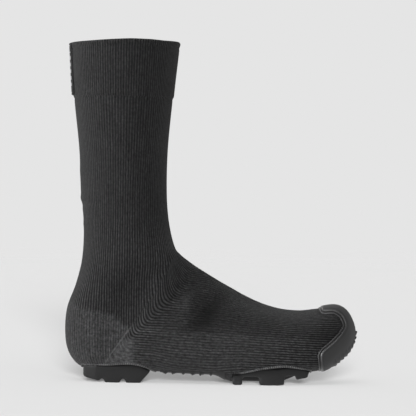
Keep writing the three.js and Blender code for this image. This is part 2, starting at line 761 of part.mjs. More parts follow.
// The base of the forefoot and its lugs
function forefootTread(rear, front, height) {
  let tread = treadBlock(rear, front, height).intersect(over(undersideRaised(-BASE_PROUD)));
  const half = CLEAT_POCKET_LENGTH / 2;
  const pocketX = alongFoot(CLEAT_POCKET_ALONG);
  const pocketTop = UNDERSIDE_HEIGHT - BASE_PROUD + CLEAT_POCKET_DEPTH;
  const pocket = sideBox(pocketX - half, pocketX + half, 0, pocketTop);
  tread = tread.subtract(sidePrism(pocket, -CLEAT_POCKET_WIDTH / 2, CLEAT_POCKET_WIDTH / 2));
  for (const lug of LATERAL_LUGS) tread = tread.add(lugBlock(lug, -1, height - LUG_EDGE));
  for (const lug of MEDIAL_LUGS) tread = tread.add(lugBlock(lug, 1, height - LUG_EDGE));
  return tread;
}

// The riding sole: a plate inside the knit, and the tread that comes out through the cut-outs
function outsole() {
  const within = (ends) => [alongFoot(ends.rear) + TREAD_CLEARANCE, alongFoot(ends.front) - TREAD_CLEARANCE];
  const height = UNDERSIDE_HEIGHT + PLATE_RISE + LUG_EDGE;
  const heel = heelBlock(...within(HEEL_CUTOUT), height);
  const forefoot = forefootTread(...within(FOREFOOT_CUTOUT), height);
  const profile = TREAD_PROFILE.map((p) => ({ x: alongFoot(p.along), z: p.up * UNDERSIDE_HEIGHT }));
  const first = profile[0];
  const last = profile[profile.length - 1];
  profile.unshift({ x: -PAST, z: first.z });
  profile.push({ x: PAST, z: last.z });
  const knitZone = wallBetween(
    toeEnd(HEEL_PLACE - 1),
    always(-KNIT_WALL - SEAT_GAP),
    always(2 * SEAT_GAP + TAPE_THICKNESS),
    true,
  )
    .subtract(heelCutout(-SEAT_GAP))
    .subtract(forefootCutout(-SEAT_GAP));
  const topLine = under(undersideRaised(PLATE_RISE));
  const tread = heel.add(forefoot).intersect(over(profile)).intersect(topLine).subtract(knitZone);
  return insideUpper().intersect(topLine).add(tread);
}

// The insole on the plate
function insole() {
  const bottom = PLATE_RISE + SEAT_GAP;
  const band = under(undersideRaised(bottom + INSOLE_THICKNESS)).intersect(over(undersideRaised(bottom)));
  return insideUpper().intersect(band);
}

const group = new THREE.Group();

function addPiece(name, solid, material) {
  const mesh = new THREE.Mesh(geometryOf(solid), material);
  mesh.name = name;
  group.add(mesh);
}

addPiece("upper", upper(), knit);
addPiece("outsole", outsole(), treadRubber);
addPiece("insole", insole(), insoleCloth);
addPiece("toe_cap", toeCap(), capRubber);
addPiece("heel_cutout_tape", edgeTape(HEEL_PLACE - 1, ARCH_FRONT_PLACE, heelCutout), tape);
addPiece("forefoot_cutout_tape", edgeTape(BALL_PLACE - 1, TIP - 2, forefootCutout), tape);
addPiece("arch_grip", archGrip(), gripRubber);
addPiece("rear_tab", rearTab(), tabCloth);

export default group;
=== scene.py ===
"""A ribbed knitted cycling overshoe for the right foot, standing as worn over its riding sole.

The sizes and tables are in millimetres, as in the part's source, and the scene is in metres.
+X points to the toe, +Y to the inner side of the foot and +Z up.
"""

import math

import bmesh
import bpy
import numpy as np
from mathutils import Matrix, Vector
from mathutils.bvhtree import BVHTree


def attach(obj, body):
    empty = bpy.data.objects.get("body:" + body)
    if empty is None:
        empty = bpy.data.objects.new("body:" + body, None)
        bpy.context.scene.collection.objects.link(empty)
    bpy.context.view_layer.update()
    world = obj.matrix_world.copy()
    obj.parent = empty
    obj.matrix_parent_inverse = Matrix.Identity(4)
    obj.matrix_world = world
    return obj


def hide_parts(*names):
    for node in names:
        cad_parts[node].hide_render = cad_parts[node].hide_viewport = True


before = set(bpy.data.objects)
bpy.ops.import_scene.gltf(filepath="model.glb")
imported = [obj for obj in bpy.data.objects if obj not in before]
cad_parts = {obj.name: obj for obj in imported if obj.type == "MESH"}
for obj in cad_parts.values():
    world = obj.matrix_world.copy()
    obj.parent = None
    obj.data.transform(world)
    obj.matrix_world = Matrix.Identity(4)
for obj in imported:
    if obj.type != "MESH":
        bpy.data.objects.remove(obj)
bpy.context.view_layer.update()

MM = 0.001

# The shoe's own sizes, as in the part's source
FOOT_LENGTH = 294.8
HEEL_SETBACK = 51.8
BALL_WIDTH = 104.0
INSTEP_HEIGHT = 134.0
UNDERSIDE_HEIGHT = 9.0
SHAFT_HEIGHT = 347.0
SHAFT_AXIS_X = 6.3
ANKLE_DEPTH = 87.5
ANKLE_WIDTH = 74.0
KNIT_WALL = 1.8
CUFF_STEP = 1.0
HEM_HEIGHT = 289.0
CUTOUT_ARCH_TOP = 18.4
TAPE_WIDTH = 2.2
PANEL_MARGIN = 4.0
PANEL_TOP = 13.2
TAB_WIDTH = 29.0
TAB_HEIGHT = 53.0
TAB_BELOW_RIM = 3.5

# Widest share, crown and base of every section of the shaft
SHAFT_SHAPE = (0.5, 2.0, 2.0)

# Rows of the shaft: height above the instep, front, back, outer side, inner side
SHAFT_ROWS = (
    (1.0, 0.623, 0.635, 0.69, 0.69),
    (0.728, 0.557, 0.593, 0.628, 0.632),
    (0.474, 0.506, 0.525, 0.547, 0.555),
    (0.258, 0.503, 0.498, 0.502, 0.505),
    (0.122, 0.536, 0.462, 0.5, 0.502),
)

# Rows of the foot: top x and z, sole x and z, outer and inner width, widest share, crown, base
FOOT_ROWS = (
    (0.377, 1.02, 0.056, 0.92, 0.375, 0.38, 0.52, 2.0, 2.0),
    (0.397, 0.962, 0.036, 0.716, 0.375, 0.375, 0.55, 2.0, 2.1),
    (0.424, 0.912, 0.006, 0.512, 0.363, 0.36, 0.58, 1.95, 2.2),
    (0.454, 0.863, 0.002, 0.288, 0.36, 0.356, 0.6, 1.9, 2.4),
    (0.477, 0.83, 0.018, 0.144, 0.361, 0.356, 0.62, 1.9, 2.7),
    (0.501, 0.796, 0.059, 0.048, 0.367, 0.36, 0.64, 1.85, 3.2),
    (0.534, 0.75, 0.155, 0.026, 0.377, 0.364, 0.66, 1.85, 3.8),
    (0.575, 0.697, 0.298, 0.018, 0.405, 0.37, 0.68, 1.85, 4.2),
    (0.622, 0.637, 0.465, 0.007, 0.455, 0.397, 0.7, 1.9, 4.6),
    (0.681, 0.576, 0.621, 0.0, 0.497, 0.457, 0.7, 2.0, 5.0),
    (0.745, 0.534, 0.74, 0.002, 0.488, 0.5, 0.68, 2.1, 4.8),
    (0.81, 0.521, 0.828, 0.022, 0.44, 0.502, 0.64, 2.25, 4.0),
    (0.874, 0.537, 0.9, 0.053, 0.358, 0.463, 0.6, 2.35, 3.2),
    (0.938, 0.554, 0.957, 0.146, 0.231, 0.38, 0.55, 2.3, 2.6),
    (0.975, 0.503, 0.985, 0.222, 0.108, 0.278, 0.52, 2.15, 2.3),
    (1.0, 0.355, 1.0, 0.355, -0.087, 0.087, 0.5, 2.0, 2.0),
)

# Ends of the cut-outs along the foot, and their arches: along between the ends, up from the sole.
# The knit is drawn forward onto the first lug, 3 mm past the source's plain cut-out.
HEEL_CUTOUT = (0.067, 0.311)
FOREFOOT_CUTOUT = (0.579, 0.844)
HEEL_ARCH = ((0, 0.79), (0.35, 0.84), (0.6, 1), (0.76, 0.93), (0.88, 0.68), (1, 0.2))
FOREFOOT_ARCH = (
    (0, 0.22), (0.12, 0.25), (0.22, 0.42), (0.34, 0.66), (0.52, 0.89), (0.68, 1), (0.85, 0.84), (1, 0.6),
)

# Edge of the toe cap's raised body from the side, top to bottom
CAP_EDGE = (
    (0.885, 0.66), (0.886, 0.54), (0.895, 0.522), (0.924, 0.524), (0.945, 0.502),
    (0.957, 0.471), (0.966, 0.41), (0.955, 0.358), (0.935, 0.305), (0.911, 0.255),
    (0.89, 0.216), (0.88, 0.176), (0.88, 0.141), (0.883, 0.088), (0.891, -0.04),
)

FRONT_X, FRONT_Z, BACK_X, BACK_Z, LATERAL, MEDIAL, WIDE, CROWN, BASE = range(9)


def along_foot(share):
    return share * FOOT_LENGTH - HEEL_SETBACK


def above_sole(share):
    return UNDERSIDE_HEIGHT + share * (INSTEP_HEIGHT - UNDERSIDE_HEIGHT)


def shoe_rows():
    """Every row in millimetres, with the last one turned over to round the toe's tip."""
    rows = []
    for height, front, back, lateral, medial in SHAFT_ROWS:
        z = INSTEP_HEIGHT + height * (SHAFT_HEIGHT - INSTEP_HEIGHT)
        front_x = SHAFT_AXIS_X + front * ANKLE_DEPTH
        back_x = SHAFT_AXIS_X - back * ANKLE_DEPTH
        rows.append((front_x, z, back_x, z, lateral * ANKLE_WIDTH, medial * ANKLE_WIDTH, *SHAFT_SHAPE))
    for top_x, top_z, sole_x, sole_z, lateral, medial, wide, crown, base in FOOT_ROWS:
        top = (along_foot(top_x), above_sole(top_z))
        sole = (along_foot(sole_x), above_sole(sole_z))
        rows.append((*top, *sole, lateral * BALL_WIDTH, medial * BALL_WIDTH, wide, crown, base))
    turned = np.array(rows[-2])[[BACK_X, BACK_Z, FRONT_X, FRONT_Z, MEDIAL, LATERAL, WIDE, CROWN, BASE]]
    turned[[LATERAL, MEDIAL]] *= -1
    turned[WIDE] = 1 - turned[WIDE]
    rows.append(turned)
    return np.array(rows, float)


ROWS = shoe_rows()
# Places along the shoe are counted in rows from the rim
TIP = len(ROWS) - 2
ANKLE_PLACE = len(SHAFT_ROWS)
TOE_PLACE = TIP - 4
# A short step, in rows, for directions along the shoe
PROBE = 0.02


def row_knots():
    steps = np.diff(ROWS[:, :4], axis=0)
    lengths = (np.hypot(steps[:, 0], steps[:, 1]) + np.hypot(steps[:, 2], steps[:, 3])) / 2
    return np.concatenate(([0.0], np.cumsum(lengths)))


KNOTS = row_knots()


def row_slopes():
    before = np.maximum(np.arange(len(ROWS)) - 1, 0)
    after = np.minimum(np.arange(len(ROWS)) + 1, len(ROWS) - 1)
    return (ROWS[after] - ROWS[before]) / (KNOTS[after] - KNOTS[before])[:, None]


SLOPES = row_slopes()


def curve(a, b, slope_a, slope_b, t):
    """Smoothly from a to b with given slopes."""
    bend = 2 * (a - b) + slope_a + slope_b
    return a + t * (slope_a + t * (b - a - bend - slope_a + t * bend))


def sections(places):
    """Rows at places between the tables' rows, smoothly."""
    places = np.asarray(places, float)
    i = np.minimum(places.astype(int), TIP - 1)
    f = (places - i)[:, None]
    span = (KNOTS[i + 1] - KNOTS[i])[:, None]
    return curve(ROWS[i], ROWS[i + 1], SLOPES[i] * span, SLOPES[i + 1] * span, f)


OUTLINE_POINTS = 240


def half_outline(section, side):
    """Fine half outline of a section from front to back. side is -1 outside and 1 inside."""
    angle = np.linspace(0, math.pi, OUTLINE_POINTS + 1)
    above = angle < math.pi / 2
    power = 2 / np.where(above, section[CROWN], section[BASE])
    out = np.sin(angle).clip(0) ** power
    down = np.abs(np.cos(angle)) ** power
    share = np.where(above, section[WIDE] * (1 - down), section[WIDE] + (1 - section[WIDE]) * down)
    middle = (section[MEDIAL] - section[LATERAL]) / 2
    half_width = max((section[MEDIAL] + section[LATERAL]) / 2, 0)
    x = section[FRONT_X] + share * (section[BACK_X] - section[FRONT_X])
    z = section[FRONT_Z] + share * (section[BACK_Z] - section[FRONT_Z])
    return np.column_stack((x, middle + side * half_width * out, z))


def run_along(points):
    steps = np.linalg.norm(np.diff(points, axis=0), axis=1)
    return np.concatenate(([0.0], np.cumsum(steps)))


def spaced(points, goals):
    """Points of a line at distances along it."""
    run = run_along(points)
    return np.column_stack([np.interp(goals, run, points[:, k]) for k in range(points.shape[1])])


def evenly(points, count):
    return spaced(points, np.linspace(0, run_along(points)[-1], count))


def rings(places, half):
    """Closed rings of 2 * half points: front, down the outer side, back, up the inner side."""
    found = []
    for section in sections(places):
        outer = evenly(half_outline(section, -1), half + 1)
        inner = evenly(half_outline(section, 1), half + 1)
        found.append(np.concatenate((outer, inner[-2:0:-1])))
    return np.array(found)


def unit(vectors):
    return vectors / np.linalg.norm(vectors, axis=-1, keepdims=True).clip(1e-9)


def ring_normals(places, half, here):
    before = rings(np.maximum(np.asarray(places) - PROBE, 0), half)
    after = rings(np.minimum(np.asarray(places) + PROBE, TIP - PROBE), half)
    around = np.roll(here, -1, axis=1) - np.roll(here, 1, axis=1)
    return unit(np.cross(around, after - before))


def raised(places, half, height):
    """Rings moved outward by a height that follows from their points."""
    base = rings(places, half)
    return base + ring_normals(places, half, base) * height(base)[..., None]


def smooth_step(low, high, value):
    t = ((value - low) / (high - low)).clip(0, 1)
    return t * t * (3 - 2 * t)


def ridge(value, middle, half_width):
    """A soft ridge of height 1."""
    return np.exp(-(((value - middle) / half_width) ** 2))


def soft_spot(x, z, spot):
    """A soft oval in side view: middle x and z, reach, half width, turn in degrees, height."""
    middle_x, middle_z, reach, across, turn, height = spot
    c = math.cos(math.radians(turn))
    s = math.sin(math.radians(turn))
    u = (x - middle_x) * c + (z - middle_z) * s
    v = (z - middle_z) * c - (x - middle_x) * s
    return height * np.exp(-((u / reach) ** 2) - (v / across) ** 2)


def smooth_line(points, pieces_each=8):
    """A line through points, rounded in the Catmull-Rom way."""
    points = np.asarray(points, float)
    padded = np.vstack((points[:1], points, points[-1:]))
    t = (np.arange(pieces_each) / pieces_each)[:, None]
    line = []
    for i in range(len(points) - 1):
        before, a, b, after = padded[i : i + 4]
        line.append(curve(a, b, (b - before) / 2, (after - a) / 2, t))
    return np.vstack(line + [points[-1:]])


def moved_left(line, by):
    """A side view line moved to its left."""
    step = unit(np.vstack((line[1:2] - line[0:1], line[2:] - line[:-2], line[-1:] - line[-2:-1])))
    return line + by * np.column_stack((-step[:, 1], step[:, 0]))


# Meshes


# Further from the middle than any part of the shoe
PAST = 400.0


def link(name, data):
    piece = bpy.data.objects.new(name, data)
    bpy.context.scene.collection.objects.link(piece)
    return piece


def mesh_from(name, points_mm, faces):
    """A mesh whose faces look outward."""
    mesh = bpy.data.meshes.new(name)
    mesh.from_pydata((np.asarray(points_mm) * MM).tolist(), [], faces)
    mesh.validate()
    work = bmesh.new()
    work.from_mesh(mesh)
    bmesh.ops.recalc_face_normals(work, faces=work.faces)
    work.to_mesh(mesh)
    work.free()
    return mesh


def shade_smooth(mesh, sharp_degrees=50):
    mesh.polygons.foreach_set("use_smooth", [True] * len(mesh.polygons))
    mesh.set_sharp_from_angle(angle=math.radians(sharp_degrees))


def rows_of_faces(rows, columns, closed_around, start=0):
    """Quads of a grid of points laid out row by row."""
    faces = []
    last = columns if closed_around else columns - 1
    for i in range(rows - 1):
        for j in range(last):
            k = (j + 1) % columns
            a = start + i * columns
            b = a + columns
            faces.append((a + j, b + j, b + k, a + k))
    return faces


def tube_mesh(name, grid, caps):
    """A skin of rings, closed at each end by a fan to a cap point, or open where that is None."""
    rows, columns, _ = grid.shape
    points = list(grid.reshape(-1, 3))
    faces = rows_of_faces(rows, columns, True)
    for cap, row in zip(caps, (0, rows - 1)):
        if cap is None:
            continue
        points.append(cap)
        for j in range(columns):
            faces.append((row * columns + j, row * columns + (j + 1) % columns, len(points) - 1))
    return mesh_from(name, points, faces)


def slab_mesh(name, top, bottom):
    """A closed slab between two grids of the same size."""
    rows, columns, _ = top.shape
    points = np.concatenate((top.reshape(-1, 3), bottom.reshape(-1, 3)))
    count = rows * columns
    faces = rows_of_faces(rows, columns, False) + rows_of_faces(rows, columns, False, count)
    last_row = (rows - 1) * columns
    rim = list(range(columns))
    rim += [i * columns + columns - 1 for i in range(1, rows)]
    rim += [last_row + j for j in range(columns - 2, -1, -1)]
    rim += [i * columns for i in range(rows - 2, 0, -1)]
    for a, b in zip(rim, rim[1:] + rim[:1]):
        faces.append((a, b, b + count, a + count))
    return mesh_from(name, points, faces)


def side_prism(name, outline):
    """A side view outline carried across the shoe."""
    count = len(outline)
    points = [(x, y, z) for y in (-PAST, PAST) for x, z in outline]
    faces = [tuple(range(count)), tuple(range(2 * count - 1, count - 1, -1))]
    for i in range(count):
        k = (i + 1) % count
        faces.append((i, k, k + count, i + count))
    return mesh_from(name, points, faces)


def applied(piece):
    """The piece with its modifiers made into its mesh."""
    graph = bpy.context.evaluated_depsgraph_get()
    mesh = bpy.data.meshes.new_from_object(piece.evaluated_get(graph))
    piece.modifiers.clear()
    old = piece.data
    piece.data = mesh
    bpy.data.meshes.remove(old)
    return piece


def cut(piece, tool_mesh, operation="DIFFERENCE"):
    """Cuts the piece with a closed mesh, or keeps only what is in it."""
    tool = link("cutter", tool_mesh)
    modifier = piece.modifiers.new("cut", "BOOLEAN")
    modifier.operation = operation
    modifier.solver = "EXACT"
    modifier.object = tool
    applied(piece)
    bpy.data.objects.remove(tool)
    return piece


def points_of(mesh):
    points = np.zeros(len(mesh.vertices) * 3)
    mesh.vertices.foreach_get("co", points)
    return points.reshape(-1, 3) / MM


def write_attribute(mesh, name, values):
    attribute = mesh.attributes.new(name, "FLOAT", "POINT")
    attribute.data.foreach_set("value", np.asarray(values, np.float32))


# The knitted upper


def cutout_line(ends, arch, grow=0.0):
    rear = along_foot(ends[0])
    front = along_foot(ends[1])
    rise = CUTOUT_ARCH_TOP - UNDERSIDE_HEIGHT
    points = [(rear + along * (front - rear), UNDERSIDE_HEIGHT + up * rise) for along, up in arch]
    return moved_left(smooth_line(points), grow)


def cutout_prism(ends, arch):
    line = cutout_line(ends, arch)
    outline = [(line[0, 0], -PAST), *map(tuple, line), (line[-1, 0], -PAST)]
    return side_prism("cutout", outline)


# Soft relief of the knit on each side: middle x, z, reach along and across, turn in degrees, height.
# The first two outside are the closure dial of the shoe inside and the hollow in front of it.
OUTER_RELIEF = (
    (75.0, 80.5, 10.5, 8.0, 72.0, 2.9),
    (94.0, 75.0, 17.0, 9.5, 66.0, -3.2),
    (84.0, 61.0, 12.0, 7.0, 38.0, -1.0),
    (118.0, 62.0, 30.0, 16.0, 60.0, -0.8),
    (44.0, 112.0, 22.0, 6.0, 58.0, -0.7),
    (-16.0, 92.0, 30.0, 12.0, 80.0, -0.9),
    (4.0, 88.0, 24.0, 7.0, 66.0, -0.6),
    (-22.0, 60.0, 17.0, 13.0, 90.0, 0.6),
    (132.0, 52.0, 30.0, 7.0, -14.0, -0.5),
    (176.0, 30.0, 30.0, 8.0, 4.0, 0.5),
)
INNER_RELIEF = (
    (74.0, 72.0, 18.0, 10.0, 60.0, 0.9),
    (104.0, 62.0, 20.0, 9.0, 60.0, -1.0),
    (-16.0, 92.0, 30.0, 12.0, 80.0, -0.9),
    (140.0, 48.0, 34.0, 8.0, -12.0, -0.5),
    (44.0, 112.0, 22.0, 6.0, 58.0, -0.7),
)
# Slack folds across the back of the shaft: height, half width of the fold, depth
BACK_FOLDS = ((186.0, 3.2, 0.7), (179.0, 3.0, -0.5), (160.0, 4.0, 0.35), (214.0, 6.0, 0.3))
FOLD_SAG = 0.12
# Where the relief fades out: across the shoe for the sides, and along it for the folds
SIDE_FADE = (4.0, 22.0)
BACK_FADE = (-8.0, -34.0)


def relief(points):
    """How far the knit stands out or in at points of the upper, in millimetres."""
    x, y, z = points[..., 0], points[..., 1], points[..., 2]
    height = np.zeros(x.shape)
    for side, forms in ((-1, OUTER_RELIEF), (1, INNER_RELIEF)):
        on_side = smooth_step(*SIDE_FADE, side * y)
        for form in forms:
            height += on_side * soft_spot(x, z, form)
    behind = smooth_step(*BACK_FADE, x)
    for fold_z, half_width, depth in BACK_FOLDS:
        height += behind * depth * ridge(z + FOLD_SAG * np.abs(y), fold_z, half_width)
    return height


# Points on each half of a ring of the upper
HALF_AROUND = 80
RIM_RADIUS = (KNIT_WALL + CUFF_STEP) / 2

# The hem's rise, and soft lines round the cuff: height, half width, how far out
HEM_RISE = (HEM_HEIGHT - 2.0, HEM_HEIGHT + 1.8)
CUFF_LINES = (
    (HEM_HEIGHT - 2.4, 1.0, -0.22), (SHAFT_HEIGHT - 2.4, 1.7, 0.4), (SHAFT_HEIGHT - 6.4, 1.5, -0.4),
)


def cuff_step(z):
    """How far the folded cuff stands out at a height: a soft hem below and a rolled edge on top."""
    out = CUFF_STEP * smooth_step(*HEM_RISE, z)
    for height, half_width, far in CUFF_LINES:
        out = out + far * ridge(z, height, half_width)
    return out


# How far the rim sags below its full height, along the shoe, and the heights where that fades out
RIM_SAG_X = (-50.0, -43.0, -28.0, -8.0, 13.0, 33.0, 46.0, 60.0)
RIM_SAG = (3.3, 3.2, 2.8, 1.7, 0.7, 0.9, 1.6, 1.3)
RIM_SAG_FADE = (SHAFT_HEIGHT - 45, SHAFT_HEIGHT - 2)

# Where the knit is drawn down over the rear of the forefoot lugs, along the shoe, and by height
DRAWN_X = (99.0, 119.5, 134.0)
DRAWN_FADE = (17.0, 9.0)
DRAWN_DOWN = 6.8


def sagged(points):
    """Points of the upper with the rim let down a little, and the knit drawn down over the first lug."""
    x, z = points[..., 0], points[..., 2]
    moved = points.copy()
    moved[..., 2] -= np.interp(x, RIM_SAG_X, RIM_SAG) * smooth_step(*RIM_SAG_FADE, z)
    rear, middle, front = DRAWN_X
    drawn = smooth_step(rear, middle, x) * smooth_step(front, middle, x)
    moved[..., 2] -= DRAWN_DOWN * drawn * smooth_step(*DRAWN_FADE, z)
    return moved


def place_at_height(z):
    """Places on the shaft by height, found among many between its rows."""
    places = np.linspace(0, ANKLE_PLACE - 1, 4000)
    heights = sections(places)[:, FRONT_Z]
    return np.interp(-np.asarray(z), -heights, places)


def even_places(first, last, step):
    """Places so far apart that the rings lie about a step apart on the mean of front and back."""
    run_first = np.interp(first, np.arange(len(KNOTS)), KNOTS)
    run_last = np.interp(last, np.arange(len(KNOTS)), KNOTS)
    count = int(math.ceil((run_last - run_first) / step)) + 1
    return np.interp(np.linspace(run_first, run_last, count), KNOTS, np.arange(len(KNOTS)))


# Millimetres between rings on the shaft, the foot and the inside, and the toe's rings in rows from the tip
SHAFT_RING_STEP = 2.4
FOOT_RING_STEP = 2.1
INSIDE_RING_STEP = 4.5
TOE_RINGS = (0.2, 0.15, 0.11, 0.08, 0.055, 0.035, 0.02)
# Round the fold of the rim, in degrees
RIM_ANGLES = (22, 45, 68, 90, 112, 135, 158)


def upper_places():
    """Rings that lie closer at the rim, the hem and the toe."""
    hem = place_at_height(np.linspace(HEM_HEIGHT + 2.2, HEM_HEIGHT - 4.0, 9))
    top = place_at_height(np.linspace(SHAFT_HEIGHT - RIM_RADIUS, SHAFT_HEIGHT - 9.0, 12))
    shaft = np.concatenate((top[:-1], even_places(top[-1], hem[0], SHAFT_RING_STEP)[:-1]))
    below = even_places(hem[-1], TIP - 0.25, FOOT_RING_STEP)[1:]
    return np.concatenate((shaft, hem, below, TIP - np.array(TOE_RINGS)))


def tip_point(out):
    tip = ROWS[TIP]
    return np.array((tip[FRONT_X] + out, tip[MEDIAL], tip[FRONT_Z]))


def outer_skin(places, half):
    return raised(places, half, lambda base: cuff_step(base[..., 2]) + relief(base))


def folded_rim(place):
    """Rings round the fold of the rim, from the outside over the top to the inside."""
    found = rings(place, HALF_AROUND)
    ring = found[0]
    normals = ring_normals(place, HALF_AROUND, found)[0]
    normals[:, 2] = 0
    normals = unit(normals)
    folded = []
    for angle in np.radians(RIM_ANGLES):
        moved = ring + normals * (CUFF_STEP - RIM_RADIUS + RIM_RADIUS * math.cos(angle))
        moved[:, 2] += RIM_RADIUS * math.sin(angle)
        folded.append(moved)
    return folded


def knitted_upper():
    outside = outer_skin(upper_places(), HALF_AROUND)
    rim = place_at_height(np.full(1, SHAFT_HEIGHT - RIM_RADIUS))
    folded = folded_rim(rim)
    near_tip = [TIP - 0.15, TIP - 0.06]
    inner_places = np.concatenate((even_places(rim[0], TIP - 0.3, INSIDE_RING_STEP), near_tip))
    inside = raised(inner_places, HALF_AROUND, lambda base: relief(base) - KNIT_WALL)
    grid = sagged(np.concatenate((outside[::-1], folded, inside)))
    piece = link("knitted_upper", tube_mesh("knitted_upper", grid, (tip_point(0.0), tip_point(-KNIT_WALL))))
    cut(piece, cutout_prism(HEEL_CUTOUT, HEEL_ARCH))
    cut(piece, cutout_prism(FOREFOOT_CUTOUT, FOREFOOT_ARCH))
    shade_smooth(piece.data)
    return piece


upper = knitted_upper()


# Points on each half of a ring of the surface that places are found on
SKIN_HALF = 120


def bare_skin():
    """The upper's outer surface alone, for finding places on it."""
    places = np.concatenate((even_places(0, TIP - 0.2, 2.0), [TIP - 0.1, TIP - 0.04]))
    grid = sagged(outer_skin(places, SKIN_HALF))
    faces = rows_of_faces(len(places), 2 * SKIN_HALF, True)
    return BVHTree.FromPolygons([Vector(p) for p in grid.reshape(-1, 3)], faces)


SKIN = bare_skin()


def on_skin(start, direction):
    """Where a line from inside the shoe leaves it, and the outward direction there."""
    direction = Vector(direction).normalized()
    place, normal, _, _ = SKIN.ray_cast(Vector(start), direction)
    if normal.dot(direction) < 0:
        normal = -normal
    return np.array(place), np.array(normal)


def under_fan(x, from_z, angles):
    """Places round the shoe's underside, looked for from inside it, and the outward directions there."""
    found = [on_skin((x, 0, from_z), (0, math.sin(a), -math.cos(a))) for a in angles]
    return np.array([p for p, _ in found]), np.array([n for _, n in found])


# The toe cap


CAP_THICKNESS = 2.3
CAP_FLANGE_THICKNESS = 1.1
CAP_FLANGE_WIDTH = 2.6
CAP_RIB_COUNT = 9
CAP_RIB_PITCH = 4.8
CAP_RIB_HEIGHT = 1.7
CAP_RIB_SIDE_MARGIN = 3.0
# A tooth's steep side and the height it loses along the rest, as shares of the pitch and the height
CAP_TOOTH_RISE = 0.16
CAP_TOOTH_FALL = 0.95
# Where the teeth fade out: across, as a share of the half width, and round from the underside's middle
CAP_TEETH_SIDE = (0.74, 0.95)
CAP_TEETH_ROUND = (0.42, 0.52)
CAP_SEAT = 0.2
CAP_HALF = 120
CAP_RING_STEP = 0.5

CAP_LINE = smooth_line([(along_foot(along), above_sole(up)) for along, up in CAP_EDGE])


def side_distance(line, x, z):
    """Distance from a side view line, above 0 to the left of its way."""
    points = np.column_stack((np.ravel(x), np.ravel(z)))
    best = np.full(len(points), 1e9)
    signed = np.zeros(len(points))
    for a, b in zip(line[:-1], line[1:]):
        along = b - a
        t = ((points - a) @ along / (along @ along)).clip(0, 1)
        away = points - (a + t[:, None] * along)
        distance = np.hypot(away[:, 0], away[:, 1])
        turn = along[0] * away[:, 1] - along[1] * away[:, 0]
        nearer = distance < best - 1e-9
        best[nearer] = distance[nearer]
        signed[nearer] = np.sign(turn[nearer]) * distance[nearer]
    return signed.reshape(np.shape(x))


def cap_teeth(places, base):
    """Height of the cross teeth under the toe: a saw profile along the underside line."""
    fine = np.arange(TIP - PROBE, TOE_PLACE, -PROBE)
    line = sections(fine)
    run = run_along(line[:, [BACK_X, BACK_Z]])
    here = np.interp(-np.asarray(places), -fine, run)
    phase = here / CAP_RIB_PITCH
    saw = phase - np.floor(phase)
    profile = smooth_step(0.0, CAP_TOOTH_RISE, saw) * (1 - CAP_TOOTH_FALL * saw)
    profile *= here < CAP_RIB_COUNT * CAP_RIB_PITCH
    section = sections(places)
    middle = (section[:, MEDIAL] - section[:, LATERAL]) / 2
    width = ((section[:, MEDIAL] + section[:, LATERAL]) / 2 - CAP_RIB_SIDE_MARGIN).clip(4)
    off = np.abs(base[..., 1] - middle[:, None]) / width[:, None]
    columns = base.shape[1]
    down = np.abs(np.arange(columns) - columns / 2) / (columns / 2)
    under = 1 - smooth_step(*CAP_TEETH_ROUND, down)
    return CAP_RIB_HEIGHT * profile[:, None] * (1 - smooth_step(*CAP_TEETH_SIDE, off)) * under[None, :]


def cap_height(places, base):
    """Thickness of the cap, by the distance inside the edge of its raised body, with its teeth."""
    inside = side_distance(CAP_LINE, base[..., 0], base[..., 2])
    flange = CAP_FLANGE_THICKNESS * (0.35 + 0.65 * smooth_step(-2.7, -1.9, inside))
    step = (CAP_THICKNESS - CAP_FLANGE_THICKNESS) * smooth_step(-0.6, 0.9, inside)
    return flange + step + cap_teeth(places, base)


def toe_cap():
    near_tip = TIP - np.array([0.12, 0.09, 0.06, 0.03])
    places = np.concatenate((even_places(TOE_PLACE, TIP - 0.16, CAP_RING_STEP), near_tip))
    outside = raised(places, CAP_HALF, lambda base: cap_height(places, base))
    inner_places = np.concatenate((even_places(TOE_PLACE, TIP - 0.2, 5 * CAP_RING_STEP), [TIP - 0.1]))
    inner = raised(inner_places, CAP_HALF, lambda base: np.full(base.shape[:2], -CAP_SEAT))
    grid = np.concatenate((outside[::-1], inner))
    tips = (tip_point(CAP_THICKNESS), tip_point(-CAP_SEAT))
    piece = link("rubber_toe_cap", tube_mesh("rubber_toe_cap", grid, tips))
    edge = moved_left(CAP_LINE, -CAP_FLANGE_WIDTH)
    ahead = [(edge[-1, 0], -PAST), (PAST, -PAST), (PAST, PAST)]
    outline = [(edge[0, 0], PAST), *map(tuple, edge), *ahead]
    cut(piece, side_prism("cap_outline", outline), "INTERSECT")
    x, _, z = points_of(piece.data).T
    write_attribute(piece.data, "inside", side_distance(CAP_LINE, x, z))
    shade_smooth(piece.data, 60)
    return piece


cap = toe_cap()


# Tapes round the cut-outs


# From the lower end of a cut-out's line up to where the rest of its loop is looked for, and its points
LOOP_RISE = 22
LOOP_STEPS = 26
STITCH_PITCH = 2.1
THREAD_DEPTH = 0.12
BEAD_HEIGHT = 0.85
BEAD_PRESSED = 0.7
BEAD_STEP = 0.6
BEAD_POINTS = 20
BEAD_ROUNDS = 6


def cutout_loop(ends, arch):
    """Points and outward directions round a cut-out, in the middle of its tape."""
    line = cutout_line(ends, arch, TAPE_WIDTH / 2)
    line[0, 0] -= TAPE_WIDTH / 2
    line[-1, 0] += TAPE_WIDTH / 2
    points = []
    normals = []
    for side, walk in ((-1, line), (1, line[::-1])):
        found = [on_skin((x, 0, z), (0, side, 0)) for x, z in walk]
        x, z = walk[-1]
        last = found[-1][0]
        start = math.atan2(last[1], z + LOOP_RISE - last[2])
        under, outward = under_fan(x, z + LOOP_RISE, np.linspace(start, -start, LOOP_STEPS)[1:-1])
        points += [p for p, _ in found] + list(under)
        normals += [n for _, n in found] + list(outward)
    return np.array(points), np.array(normals)


